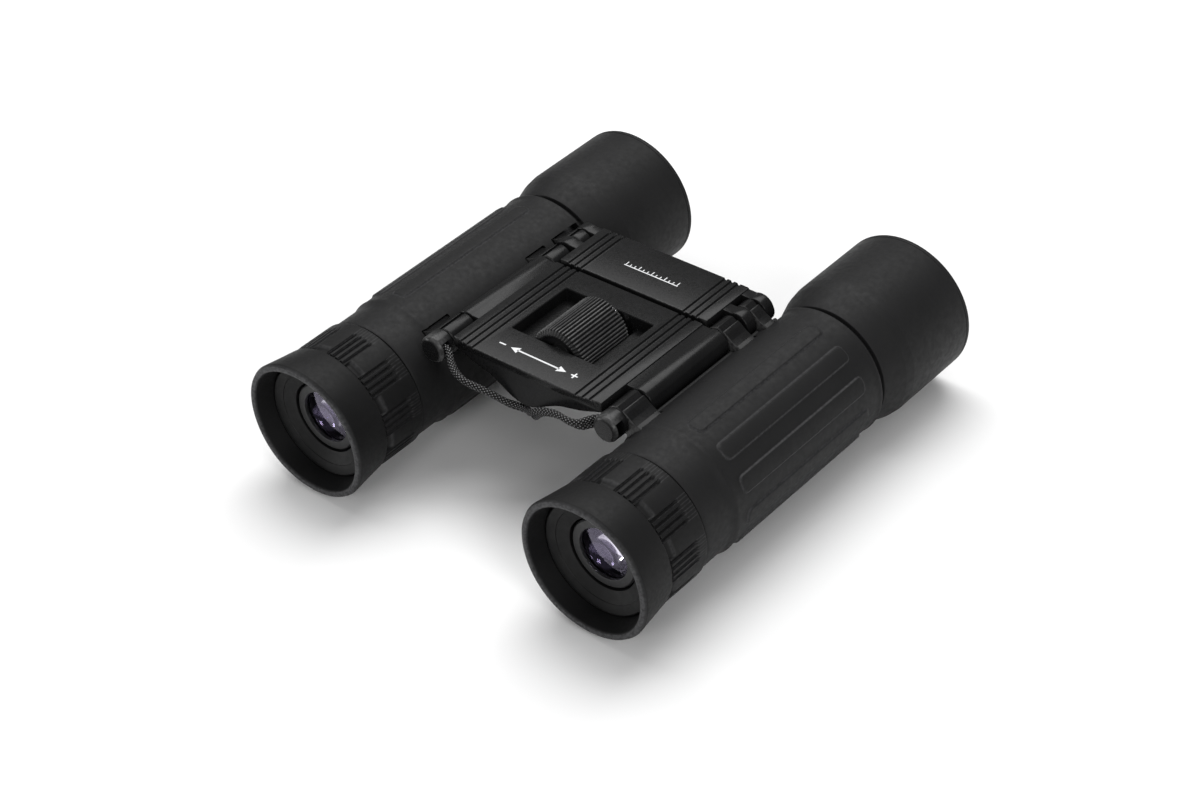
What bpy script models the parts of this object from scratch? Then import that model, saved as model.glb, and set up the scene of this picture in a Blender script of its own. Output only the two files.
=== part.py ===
"""Compact folding binoculars with 25 mm objectives: two barrels hinged on a central focusing bridge.

X runs to the user's right, Y forward to the objectives, Z up. Stations are millimetres forward of the
eyecup rims; heights are millimetres above the optical axes.
"""
import math

import bmesh
import bpy
import numpy as np
from mathutils import Matrix, Vector

MM = 0.001

# overall layout
LENGTH = 110.0
HALF_SPACING = 37.5
AXIS_HEIGHT = 16.4
GAP = 0.3

# hinges between the bridge and the barrels
HINGE_X = 23.2
HINGE_Z = 12.05
KNUCKLE_R = 3.05
KNUCKLE_SWELL = 0.2
ROD_R = 1.2
ROD_BORE = 1.5
ROD_SPAN = (28.5, 76.0)
REAR_ARM = (29.5, 36.3)
FRONT_ARM = (62.2, 67.4)
OBJECTIVE_ARM = (71.4, 74.4)

# bridge
PLATE_TOP = 15.1
PLATE_HALF = 19.8
WEB_TOP = 14.8
REAR_PLATE = (27.4, 61.75)
FRONT_PLATE = (63.0, 77.5)
LONG_KNUCKLE = (36.6, 61.75)
REAR_FINGER = (68.3, 71.1)
FRONT_FINGER = (74.7, 77.5)
WINDOW_HALF = 11.78
WINDOW = (38.0, 55.4)
POCKET_FLOOR = 12.2
WHEEL_SLOT_HALF = 7.5
GROOVE_X = (13.8, 15.5, 17.2)
GROOVE_WIDTH = 0.8
GROOVE_DEPTH = 0.45

# focus wheel
WHEEL_Z = 11.57
WHEEL_R = 6.92
WHEEL = (38.4, 53.6)
WHEEL_RIDGES = 34
SPINDLE_R = 1.5

# barrel shells
BODY = (20.8, 79.0)
BODY_R = 13.3
BODY_BORE = 11.8
ARMOUR = (20.7, 79.2)
ARMOUR_R = 14.9
ARMOUR_BORE = 13.6
PAD_SPAN = (33.0, 74.0)
PADS = (
    (-124.5, 0.4), (-95.0, 0.4), (-65.5, 0.4), (-36.0, 0.4), (-6.5, 0.4), (23.0, 0.4), (52.5, 0.4), (82.0, 0.4),
    (139.9, 0.25),
)
PAD_HALF = 7.6
SLOT_START = 70.4

# eyepiece end
CUP_R = 15.7
RING = (9.5, 20.3)
RING_R = 14.9
RING_GROUPS = 10
GROOVES_PER_GROUP = 4
GROOVE_PITCH_DEG = 5.5

# objective end
TUBE = (58.0, 107.3)
HOOD_R = 16.4

SEG_OUTER = 36
SEG_MID = 28
SEG_INNER = 20
TURN = 0.03
BORE_TURN = 0.142

FOLD_SIDES = {"left": -1, "right": 1}

# braided carrying loop, centre of its two strands from the left eyelet to the right one
LOOP_ROUTE = (
    (-24.6, 27.0, 12.05), (-22.4, 27.0, 12.05), (-20.3, 26.95, 12.0), (-18.7, 26.1, 11.6),
    (-17.0, 24.8, 11.0), (-14.8, 23.7, 10.5), (-12.2, 23.2, 10.0), (-9.2, 23.9, 9.2), (-6.4, 25.1, 7.9),
    (-4.0, 26.4, 6.3), (-1.8, 27.8, 5.2), (0.6, 28.1, 5.0), (2.9, 26.5, 6.1), (5.0, 25.2, 8.2),
    (7.8, 24.9, 10.0), (11.3, 24.8, 10.9), (14.6, 24.4, 11.0), (17.2, 24.8, 11.1),
    (18.8, 26.1, 11.6), (20.3, 26.95, 12.0), (22.4, 27.0, 12.05), (24.6, 27.0, 12.05),
)
LOOP_R = 0.62
STRAND_OFFSET = 0.8
STRANDS = {"upper": 1.0, "lower": -1.0}


def clear_scene():
    for item in list(bpy.data.objects):
        bpy.data.objects.remove(item, do_unlink=True)


def at(x, station, height):
    """World position in millimetres of a point given by side offset, station and height."""
    return Vector((x, station - LENGTH / 2, height + AXIS_HEIGHT))


def make_material(name, colour, roughness, metallic=0.0, transmission=0.0, ior=1.5):
    material = bpy.data.materials.new(name)
    material.use_nodes = True
    shader = material.node_tree.nodes["Principled BSDF"]
    shader.inputs["Base Color"].default_value = (*colour, 1.0)
    shader.inputs["Roughness"].default_value = roughness
    shader.inputs["Metallic"].default_value = metallic
    shader.inputs["Transmission Weight"].default_value = transmission
    shader.inputs["IOR"].default_value = ior
    material.diffuse_color = (*colour, 1.0)
    return material


def make_materials():
    return {
        "armour_rubber": make_material("armour_rubber", (0.022, 0.022, 0.023), 0.62),
        "eyecup_rubber": make_material("eyecup_rubber", (0.024, 0.024, 0.025), 0.55),
        "painted_metal": make_material("painted_metal", (0.018, 0.018, 0.019), 0.36, 0.2),
        "black_plastic": make_material("black_plastic", (0.02, 0.02, 0.021), 0.5),
        "black_anodised": make_material("black_anodised", (0.02, 0.02, 0.022), 0.4, 0.7),
        "steel": make_material("steel", (0.55, 0.55, 0.56), 0.28, 1.0),
        "brass": make_material("brass", (0.72, 0.52, 0.2), 0.3, 1.0),
        "coated_glass": make_material("coated_glass", (0.8, 0.76, 0.95), 0.02, 0.0, 1.0, 1.6),
        "prism_glass": make_material("prism_glass", (0.9, 0.93, 0.92), 0.02, 0.0, 1.0, 1.57),
        "braided_cord": make_material("braided_cord", (0.02, 0.02, 0.02), 0.8),
    }


def finish(name, bm, material, origin, smooth=True):
    """Turn a bmesh in world millimetres into an object whose origin is the given point."""
    bmesh.ops.remove_doubles(bm, verts=bm.verts, dist=1e-4)
    bmesh.ops.recalc_face_normals(bm, faces=bm.faces)
    for vert in bm.verts:
        vert.co -= origin
    mesh = bpy.data.meshes.new(name)
    bm.to_mesh(mesh)
    bm.free()
    item = bpy.data.objects.new(name, mesh)
    item.location = origin
    bpy.context.scene.collection.objects.link(item)
    if material is not None:
        mesh.materials.append(material)
    if smooth:
        shade_smooth(item)
    return item


def shade_smooth(item, limit_deg=32.0):
    """Smooth faces with creases kept sharp at edges over the limit."""
    mesh = item.data
    bm = bmesh.new()
    bm.from_mesh(mesh)
    for face in bm.faces:
        face.smooth = True
    for edge in bm.edges:
        edge.smooth = len(edge.link_faces) == 2 and edge.calc_face_angle(0.0) < math.radians(limit_deg)
    bm.to_mesh(mesh)
    bm.free()


def ring_of(bm, x, station, height, radius, segments, phase):
    if radius < 1e-6:
        return [bm.verts.new(at(x, station, height))]
    ring = []
    for index in range(segments):
        angle = 2 * math.pi * index / segments + phase
        ring.append(bm.verts.new(at(x + radius * math.cos(angle), station, height + radius * math.sin(angle))))
    return ring


def bridge_rings(bm, first, second):
    if len(first) == 1 and len(second) == 1:
        return
    count = max(len(first), len(second))
    for index in range(count):
        following = (index + 1) % count
        corners = []
        corners.append(first[index % len(first)])
        if len(first) > 1:
            corners.append(first[following])
        if len(second) > 1:
            corners.append(second[following])
        corners.append(second[index % len(second)])
        bm.faces.new(corners)


def revolved_bmesh(profile, x, height, segments, phase=0.0):
    """Solid of revolution about a line along Y; the profile is a closed polygon of (station, radius)."""
    bm = bmesh.new()
    rings = [ring_of(bm, x, station, height, radius, segments, phase) for station, radius in profile]
    for index, ring in enumerate(rings):
        bridge_rings(bm, ring, rings[(index + 1) % len(rings)])
    return bm


def revolve(name, profile, x, height, segments, material, origin, phase=0.0):
    return finish(name, revolved_bmesh(profile, x, height, segments, phase), material, origin)


def rod_profile(start, end, radius, chamfer=0.0):
    if chamfer <= 0:
        return [(start, 0.0), (start, radius), (end, radius), (end, 0.0)]
    return [
        (start, 0.0), (start, radius - chamfer), (start + chamfer, radius),
        (end - chamfer, radius), (end, radius - chamfer), (end, 0.0),
    ]


def tube_profile(start, end, inner, outer):
    return [(start, inner), (start, outer), (end, outer), (end, inner)]


def extrude_into(bm, outline, start, end):
    """Prism along Y from an outline of (x, height) points."""
    rear = [bm.verts.new(at(x, start, height)) for x, height in outline]
    front = [bm.verts.new(at(x, end, height)) for x, height in outline]
    count = len(outline)
    bm.faces.new(rear)
    bm.faces.new(front)
    for index in range(count):
        following = (index + 1) % count
        bm.faces.new([rear[index], rear[following], front[following], front[index]])


def box_into(bm, x_range, station_range, height_range):
    x0, x1 = x_range
    h0, h1 = height_range
    extrude_into(bm, [(x0, h0), (x1, h0), (x1, h1), (x0, h1)], *station_range)


def cylinder_into(bm, x, height, radius, start, end, segments, phase=0.0):
    circle = []
    for index in range(segments):
        angle = 2 * math.pi * index / segments + phase
        circle.append((x + radius * math.cos(angle), height + radius * math.sin(angle)))
    extrude_into(bm, circle, start, end)


def cutter(name, bm):
    item = finish(name, bm, None, Vector((0, 0, 0)), smooth=False)
    item.hide_render = True
    item.display_type = "WIRE"
    return item


def boolean(item, tool, operation):
    modifier = item.modifiers.new(operation.lower(), "BOOLEAN")
    modifier.operation = operation
    modifier.solver = "EXACT"
    modifier.object = tool
    return modifier


# ---------------------------------------------------------------- bridge


def belly_height(x):
    """Underside of the bridge: shallow at the sides, a blunt keel in the middle."""
    samples_x = (0.0, 1.2, 3.5, 6.5, 9.3, 14.7, 17.4, 19.8)
    samples_h = (6.6, 6.7, 7.4, 9.1, 10.3, 11.2, 12.0, 12.6)
    return float(np.interp(abs(x), samples_x, samples_h))


def bridge_block(rear_station, front_station, rear_bow):
    """Flat-topped bridge casting; the rear edge bows outward in plan by rear_bow."""
    xs = [-19.8, -17.4, -14.7, -12.0, -9.3, -6.5, -3.5, -1.2, 1.2, 3.5, 6.5, 9.3, 12.0, 14.7, 17.4, 19.8]
    bm = bmesh.new()
    columns = []
    for x in xs:
        rear = rear_station + rear_bow * (x / PLATE_HALF) ** 2
        columns.append([
            bm.verts.new(at(x, rear, PLATE_TOP)), bm.verts.new(at(x, front_station, PLATE_TOP)),
            bm.verts.new(at(x, front_station, belly_height(x))), bm.verts.new(at(x, rear, belly_height(x))),
        ])
    for index in range(len(xs) - 1):
        one, two = columns[index], columns[index + 1]
        for corner in range(4):
            following = (corner + 1) % 4
            bm.faces.new([one[corner], two[corner], two[following], one[following]])
    bm.faces.new(columns[0])
    bm.faces.new(columns[-1])
    return bm


def knuckle_tool(name, spans, web_inner, web_floor):
    """Hinge knuckles on both sides, each joined to the plate by a web just under its top.

    A knuckle swells a little towards the barrel beside it, so the gap between them stays narrow.
    """
    last = 180 - math.degrees(math.asin((WEB_TOP - HINGE_Z) / KNUCKLE_R))
    bm = bmesh.new()
    for side in FOLD_SIDES.values():
        for start, end in spans:
            outline = [(web_inner, WEB_TOP), (web_inner, web_floor)]
            for step in range(15):
                degrees = -110 + (last + 110) * step / 14
                radius = KNUCKLE_R + KNUCKLE_SWELL * max(0.0, 1 - ((degrees + 42) / 60) ** 2)
                angle = math.radians(degrees)
                outline.append((HINGE_X + radius * math.cos(angle), HINGE_Z + radius * math.sin(angle)))
            extrude_into(bm, [(side * x, height) for x, height in outline], start, end)
    return cutter(name, bm)


def plate_grooves(name, start, end):
    bm = bmesh.new()
    for side in FOLD_SIDES.values():
        for x in GROOVE_X:
            low, high = side * x - GROOVE_WIDTH / 2, side * x + GROOVE_WIDTH / 2
            box_into(bm, (low, high), (start, end), (PLATE_TOP - GROOVE_DEPTH, PLATE_TOP + 1.0))
    return cutter(name, bm)


def make_rear_bridge(materials):
    item = finish("rear_bridge", bridge_block(*REAR_PLATE, 1.4), materials["painted_metal"],
                  at(0, 45, WHEEL_Z), smooth=False)
    boolean(item, knuckle_tool("cut_rear_knuckles", [LONG_KNUCKLE], 17.8, 11.6), "UNION")
    boolean(item, plate_grooves("cut_rear_grooves", 20.0, 70.0), "DIFFERENCE")

    bm = bmesh.new()
    box_into(bm, (-WINDOW_HALF, WINDOW_HALF), WINDOW, (POCKET_FLOOR, PLATE_TOP + 3))
    boolean(item, cutter("cut_window", bm), "DIFFERENCE")
    bm = bmesh.new()
    box_into(bm, (-WHEEL_SLOT_HALF, WHEEL_SLOT_HALF), WINDOW, (0.0, POCKET_FLOOR + 1))
    boolean(item, cutter("cut_wheel_slot", bm), "DIFFERENCE")
    bm = bmesh.new()
    cylinder_into(bm, 0, WHEEL_Z, SPINDLE_R + GAP, 32.9, 40.0, 16)
    cylinder_into(bm, 0, WHEEL_Z, SPINDLE_R + GAP, 54.0, 63.0, 16)
    for side in FOLD_SIDES.values():
        cylinder_into(bm, side * HINGE_X, HINGE_Z, ROD_BORE, 34.0, 63.0, 16)
    boolean(item, cutter("cut_rear_bores", bm), "DIFFERENCE")
    return item


def make_front_bridge(materials):
    item = finish("front_bridge", bridge_block(*FRONT_PLATE, 0.0), materials["painted_metal"],
                  at(0, 70, WHEEL_Z), smooth=False)
    fingers = knuckle_tool("cut_front_fingers", [REAR_FINGER, FRONT_FINGER], 17.8, 11.6)
    boolean(item, fingers, "UNION")
    boolean(item, plate_grooves("cut_front_grooves", 60.0, 80.0), "DIFFERENCE")
    bm = bmesh.new()
    cylinder_into(bm, 0, WHEEL_Z, 2.8, 60.0, 76.3, 16)
    for side in FOLD_SIDES.values():
        cylinder_into(bm, side * HINGE_X, HINGE_Z, ROD_BORE, 66.0, 76.9, 16)
    boolean(item, cutter("cut_front_bores", bm), "DIFFERENCE")
    return item


def make_focus_drive(materials):
    start, end = WHEEL
    ridge, valley, bevel = WHEEL_R, WHEEL_R - 0.42, WHEEL_R - 0.75
    count = WHEEL_RIDGES * 2
    bm = bmesh.new()
    rings = []
    levels = [(start, 2.3, False), (start, bevel, False), (start + 0.7, None, True), (end - 0.7, None, True),
              (end, bevel, False), (end, 2.3, False)]
    for station, radius, ridged in levels:
        ring = []
        for index in range(count):
            angle = 2 * math.pi * (index + 0.5) / count
            r = (ridge if index % 2 == 0 else valley) if ridged else radius
            ring.append(bm.verts.new(at(r * math.cos(angle), station, WHEEL_Z + r * math.sin(angle))))
        rings.append(ring)
    for index, ring in enumerate(rings):
        bridge_rings(bm, ring, rings[(index + 1) % len(rings)])
    finish("focus_wheel", bm, materials["painted_metal"], at(0, 46, WHEEL_Z), smooth=False)

    profile = [(33.5, 0.0), (33.5, 1.3), (33.7, 1.5), (38.3, 1.5), (38.3, 2.0), (53.7, 2.0), (53.7, 1.5),
               (73.8, 1.5), (74.0, 1.3), (74.0, 0.0)]
    revolve("focus_spindle", profile, 0, WHEEL_Z, 12, materials["steel"], at(0, 46, WHEEL_Z))
    revolve("thrust_washer", tube_profile(54.0, 55.0, SPINDLE_R + GAP, 4.2), 0, WHEEL_Z, 20,
            materials["steel"], at(0, 54.5, WHEEL_Z))
    revolve("focus_nut", tube_profile(64.5, 70.5, SPINDLE_R + GAP, 2.5), 0, WHEEL_Z, 16,
            materials["brass"], at(0, 67.5, WHEEL_Z))


def make_hinge_hardware(materials):
    for name, side in FOLD_SIDES.items():
        origin = at(side * HINGE_X, 46, HINGE_Z)
        revolve(f"{name}_hinge_rod", rod_profile(*ROD_SPAN, ROD_R, 0.2), side * HINGE_X, HINGE_Z, 16,
                materials["steel"], origin)
        profile = [(25.0, 0.0), (25.0, 2.2), (25.4, 2.85), (26.0, KNUCKLE_R), (29.2, KNUCKLE_R),
                   (29.2, ROD_BORE), (28.3, ROD_BORE), (28.3, 0.0)]
        cap = revolve(f"{name}_strap_eyelet", profile, side * HINGE_X, HINGE_Z, SEG_INNER,
                      materials["painted_metal"], origin)
        bm = bmesh.new()
        x = side * HINGE_X
        box_into(bm, (x - 5, x + 5), (26.0, 28.0), (HINGE_Z - 1.85, HINGE_Z + 1.85))
        boolean(cap, cutter(f"cut_{name}_eyelet_slot", bm), "DIFFERENCE")


def smooth_route(points, spacing):
    """Centripetal curve through the route points, resampled at an even spacing (all in mm)."""
    pts = [Vector(p) for p in points]
    pts = [pts[0] * 2 - pts[1]] + pts + [pts[-1] * 2 - pts[-2]]
    dense = []
    for index in range(1, len(pts) - 2):
        p0, p1, p2, p3 = pts[index - 1], pts[index], pts[index + 1], pts[index + 2]
        for step in range(12):
            t = step / 12
            dense.append(0.5 * ((2 * p1) + (p2 - p0) * t + (2 * p0 - 5 * p1 + 4 * p2 - p3) * t * t
                                + (3 * p1 - p0 - 3 * p2 + p3) * t * t * t))
    dense.append(pts[-2])
    travelled = [0.0]
    for index in range(1, len(dense)):
        travelled.append(travelled[-1] + (dense[index] - dense[index - 1]).length)
    count = max(4, round(travelled[-1] / spacing))
    wanted = np.linspace(0.0, travelled[-1], count + 1)
    columns = [np.interp(wanted, travelled, [p[axis] for p in dense]) for axis in range(3)]
    return [Vector(values) for values in zip(*columns)]


def strand_points(sign):
    """Centreline of one strand: stacked in the eyelets, the upper one leaning back along the way."""
    centre = smooth_route(LOOP_ROUTE, 2.1)
    points = []
    for index, point in enumerate(centre):
        ahead = centre[min(index + 1, len(centre) - 1)] - centre[max(index - 1, 0)]
        tangent = ahead.normalized()
        spread = min(1.0, max(0.0, (20.0 - abs(point.x)) / 5.0))
        spread = spread * spread * (3 - 2 * spread)
        lean = Vector((0.0, -0.5 * spread, 0.8 - 0.15 * spread))
        across = lean - tangent * lean.dot(tangent)
        points.append(point + across.normalized() * STRAND_OFFSET * sign)
    return points


def make_carrying_loop(materials):
    for name, sign in STRANDS.items():
        curve = bpy.data.curves.new(f"loop_strand_{name}", "CURVE")
        curve.dimensions = "3D"
        curve.bevel_depth = LOOP_R * MM
        curve.bevel_resolution = 2
        curve.use_fill_caps = True
        points = strand_points(sign)
        spline = curve.splines.new("POLY")
        spline.points.add(len(points) - 1)
        for target, point in zip(spline.points, points):
            target.co = (*(at(*point) * MM), 1.0)
        curve.materials.append(materials["braided_cord"])
        item = bpy.data.objects.new(f"loop_strand_{name}", curve)
        bpy.context.scene.collection.objects.link(item)


# ---------------------------------------------------------------- barrels

BODY_ARM = (
    (23.2, 15.1), (24.3, 14.86), (25.4, 14.15), (26.6, 13.1), (28.0, 12.3), (29.6, 11.75), (31.5, 11.3),
    (33.2, 10.6), (33.2, 6.6), (30.0, 7.2), (27.6, 8.0), (25.3, 8.85), (23.2, 9.0),
)
OBJECTIVE_ARM_OUTLINE = (
    (23.2, 15.1), (24.3, 14.86), (25.4, 14.15), (26.6, 13.1), (28.0, 12.3), (29.8, 11.6), (31.8, 11.0),
    (34.2, 9.8), (34.2, 7.0), (31.0, 7.2), (28.0, 8.0), (25.3, 8.85), (23.2, 9.0),
)
ARM_CLEARANCE = (
    (21.5, 15.6), (24.4, 15.2), (25.65, 14.4), (26.85, 13.35), (28.15, 12.62), (29.75, 12.06), (31.65, 11.6),
    (34.6, 10.3), (34.6, 6.6), (31.0, 6.85), (29.95, 6.85), (27.5, 7.65), (25.2, 8.5), (21.5, 8.6),
)


def mirrored(outline, side):
    return [(side * x, height) for x, height in outline]


def arm_tool(name, side, outline, spans):
    """Arms that reach from the barrel up to the hinge, with their knuckles."""
    bm = bmesh.new()
    for start, end in spans:
        lower = [(HINGE_X + KNUCKLE_R * math.cos(a), HINGE_Z + KNUCKLE_R * math.sin(a))
                 for a in [math.radians(v) for v in range(255, 89, -15)]]
        body = list(outline[:-1]) + lower[:-1]
        extrude_into(bm, mirrored(body, side), start, end)
    return cutter(name, bm)


def make_body(side_name, side, materials):
    x = side * HALF_SPACING
    origin = at(side * HINGE_X, 46, HINGE_Z)
    profile = [(11.1, 0.0), (11.1, 12.9), (BODY[0], 12.9), (BODY[0], BODY_R), (BODY[1], BODY_R), (BODY[1], 0.0)]
    item = revolve(f"{side_name}_body", profile, x, 0, SEG_MID, materials["black_plastic"], origin,
                   TURN * side)
    arms = arm_tool(f"cut_{side_name}_body_arms", side, BODY_ARM, [REAR_ARM, FRONT_ARM])
    boolean(item, arms, "UNION")
    bore = [(10.0, 0.0), (10.0, 10.3), (23.0, 10.3), (23.0, BODY_BORE), (82.0, BODY_BORE), (82.0, 0.0)]
    boolean(item, cutter(f"cut_{side_name}_bore", revolved_bmesh(bore, x, 0, SEG_MID, BORE_TURN * side)), "DIFFERENCE")
    bm = bmesh.new()
    cylinder_into(bm, side * HINGE_X, HINGE_Z, ROD_BORE, 25.0, 80.0, 16)
    boolean(item, cutter(f"cut_{side_name}_rod_bore", bm), "DIFFERENCE")
    bm = bmesh.new()
    extrude_into(bm, mirrored(ARM_CLEARANCE, side), SLOT_START, 85.0)
    boolean(item, cutter(f"cut_{side_name}_arm_slot", bm), "DIFFERENCE")
    return item


def pad_angles():
    """Angles round the armour with the rise of the surface there: a step at each pad's two edges."""
    stops = []
    for centre, rise in PADS:
        stops.append((centre - PAD_HALF - 0.9, 0.0))
        stops.append((centre - PAD_HALF, rise))
        stops.append((centre + PAD_HALF, rise))
        stops.append((centre + PAD_HALF + 0.9, 0.0))
    around = [centre for centre, rise in PADS] + [PADS[0][0] + 360]
    for centre, following in zip(around, around[1:]):
        start, end = centre + PAD_HALF + 0.9, following - PAD_HALF - 0.9
        count = max(2, round((end - start) / 9))
        for step in range(1, count):
            stops.append((start + (end - start) * step / count, 0.0))
    return sorted(stops)


def make_armour(side_name, side, materials):
    x = side * HALF_SPACING
    start, end = ARMOUR
    pad_start, pad_end = PAD_SPAN
    levels = [
        (start, ARMOUR_BORE, False), (start, 14.45, False), (28.4, 14.45, False), (30.2, ARMOUR_R, False),
        (pad_start, ARMOUR_R, False), (pad_start + 0.5, ARMOUR_R, True), (pad_end - 0.5, ARMOUR_R, True),
        (pad_end, ARMOUR_R, False), (end, ARMOUR_R, False), (end, ARMOUR_BORE, False),
    ]
    bm = bmesh.new()
    rings = []
    for station, radius, padded in levels:
        ring = []
        for degrees, rise in pad_angles():
            r = radius + (rise if padded else 0.0)
            angle = math.radians(degrees)
            ring.append(bm.verts.new(at(x + side * r * math.cos(angle), station, r * math.sin(angle))))
        rings.append(ring)
    for index, ring in enumerate(rings):
        bridge_rings(bm, ring, rings[(index + 1) % len(rings)])
    item = finish(f"{side_name}_armour", bm, materials["armour_rubber"], at(side * HINGE_X, 46, HINGE_Z))
    bm = bmesh.new()
    for span in [(REAR_ARM[0] - 0.6, REAR_ARM[1] + 0.5), (FRONT_ARM[0] - 0.5, FRONT_ARM[1] + 0.6),
                 (SLOT_START, 85.0)]:
        extrude_into(bm, mirrored(ARM_CLEARANCE, side), *span)
    boolean(item, cutter(f"cut_{side_name}_armour_notches", bm), "DIFFERENCE")
    return item


def make_prism_unit(side_name, side, materials):
    x = side * HALF_SPACING
    origin = at(side * HINGE_X, 46, HINGE_Z)
    revolve(f"{side_name}_field_stop", tube_profile(25.0, 26.0, 5.2, 11.4), x, 0, SEG_INNER,
            materials["black_plastic"], origin)
    cage = revolve(f"{side_name}_prism_cage", rod_profile(27.5, 56.5, 11.4), x, 0, SEG_INNER,
                   materials["black_plastic"], origin)
    bm = bmesh.new()
    box_into(bm, (x - 7.0, x + 7.0), (26.0, 58.0), (-7.0, 7.0))
    boolean(cage, cutter(f"cut_{side_name}_cage_pocket", bm), "DIFFERENCE")

    bm = bmesh.new()
    outline = [(30.0, -6.6), (44.4, 6.6), (31.6, 4.0)]
    roof_rear, roof_front = 5.0, 6.6
    side_verts = []
    for offset in (-6.6, 6.6):
        side_verts.append([bm.verts.new(at(x + offset, s, h)) for s, h in outline])
    ridge = [bm.verts.new(at(x, 30.6, roof_rear)), bm.verts.new(at(x, 44.2, roof_front + 0.1))]
    low, high = side_verts
    bm.faces.new([low[0], low[1], low[2]])
    bm.faces.new([high[0], high[2], high[1]])
    bm.faces.new([low[0], high[0], high[1], low[1]])
    bm.faces.new([low[0], low[2], ridge[0]])
    bm.faces.new([high[0], ridge[0], high[2]])
    bm.faces.new([low[0], ridge[0], high[0]])
    bm.faces.new([low[2], low[1], ridge[1]])
    bm.faces.new([low[2], ridge[1], ridge[0]])
    bm.faces.new([high[2], ridge[1], high[1]])
    bm.faces.new([high[2], ridge[0], ridge[1]])
    bm.faces.new([low[1], high[1], ridge[1]])
    finish(f"{side_name}_roof_prism", bm, materials["prism_glass"], origin, smooth=False)

    bm = bmesh.new()
    outline = [(32.6, -6.6), (55.4, -6.6), (55.4, 6.6), (47.6, 6.6), (46.2, 5.6)]
    rear = [bm.verts.new(at(x - 6.6, s, h)) for s, h in outline]
    front = [bm.verts.new(at(x + 6.6, s, h)) for s, h in outline]
    bm.faces.new(rear)
    bm.faces.new(front)
    for index in range(len(outline)):
        following = (index + 1) % len(outline)
        bm.faces.new([rear[index], rear[following], front[following], front[index]])
    finish(f"{side_name}_penta_prism", bm, materials["prism_glass"], origin, smooth=False)


def make_eyepiece(side_name, side, materials):
    x = side * HALF_SPACING
    origin = at(x, 15, 0)
    cup = [
        (0.0, 14.5), (0.0, 15.2), (0.6, CUP_R), (9.2, 15.0), (9.2, 10.4), (8.05, 10.4), (8.05, 13.45),
        (4.4, 13.45), (0.6, 14.1),
    ]
    revolve(f"{side_name}_eyecup", cup, x, 0, SEG_OUTER, materials["eyecup_rubber"], origin)
    housing = [(6.3, 8.3), (4.6, 12.7), (4.8, 13.1), (7.7, 13.1), (7.7, 10.0), (19.8, 10.0), (19.8, 8.3)]
    revolve(f"{side_name}_eyepiece_housing", housing, x, 0, SEG_MID, materials["black_plastic"], origin)

    start, end = RING
    ring_profile = [(start, 10.4), (start, RING_R), (end, RING_R), (end, 13.2), (10.9, 13.2), (10.9, 10.4)]
    ring = revolve(f"{side_name}_grip_ring", ring_profile, x, 0, SEG_OUTER, materials["eyecup_rubber"], origin)
    bm = bmesh.new()
    first = 3.0 if side > 0 else 180.0 - 63.6
    for group in range(RING_GROUPS):
        for index in range(GROOVES_PER_GROUP):
            degrees = first + 360.0 * group / RING_GROUPS
            degrees += (index - (GROOVES_PER_GROUP - 1) / 2) * GROOVE_PITCH_DEG
            angle = math.radians(degrees)
            radial = Vector((math.cos(angle), 0, math.sin(angle)))
            across = Vector((-math.sin(angle), 0, math.cos(angle)))
            outline = []
            for r, w in ((RING_R - 0.65, -0.32), (RING_R + 0.6, -0.5), (RING_R + 0.6, 0.5), (RING_R - 0.65, 0.32)):
                point = radial * r + across * w
                outline.append((x + point.x, point.z))
            extrude_into(bm, outline, start - 1.0, 17.5)
    boolean(ring, cutter(f"cut_{side_name}_ring_grooves", bm), "DIFFERENCE")

    cell = [(6.5, 5.9), (6.5, 7.7), (6.7, 7.9), (24.0, 7.9), (24.0, 6.9), (7.3, 6.9), (7.3, 5.9)]
    revolve(f"{side_name}_eyepiece_tube", cell, x, 0, SEG_INNER, materials["black_anodised"], origin)
    lens = [(6.8, 0.0), (7.0, 2.6), (7.5, 5.0), (7.9, 6.6), (8.7, 6.6), (9.3, 4.0), (9.6, 0.0)]
    revolve(f"{side_name}_eye_lens", lens, x, 0, SEG_INNER, materials["coated_glass"], origin)
    revolve(f"{side_name}_lens_spacer", tube_profile(9.9, 16.2, 5.9, 6.6), x, 0, SEG_INNER,
            materials["black_plastic"], origin)
    lens = [(15.9, 0.0), (16.2, 3.4), (16.5, 5.4), (16.5, 6.6), (18.6, 6.6), (19.8, 3.4), (20.1, 0.0)]
    revolve(f"{side_name}_field_lens", lens, x, 0, SEG_INNER, materials["coated_glass"], origin)
    revolve(f"{side_name}_eyepiece_retainer", tube_profile(20.4, 22.4, 5.9, 6.6), x, 0, SEG_INNER,
            materials["black_plastic"], origin)


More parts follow.
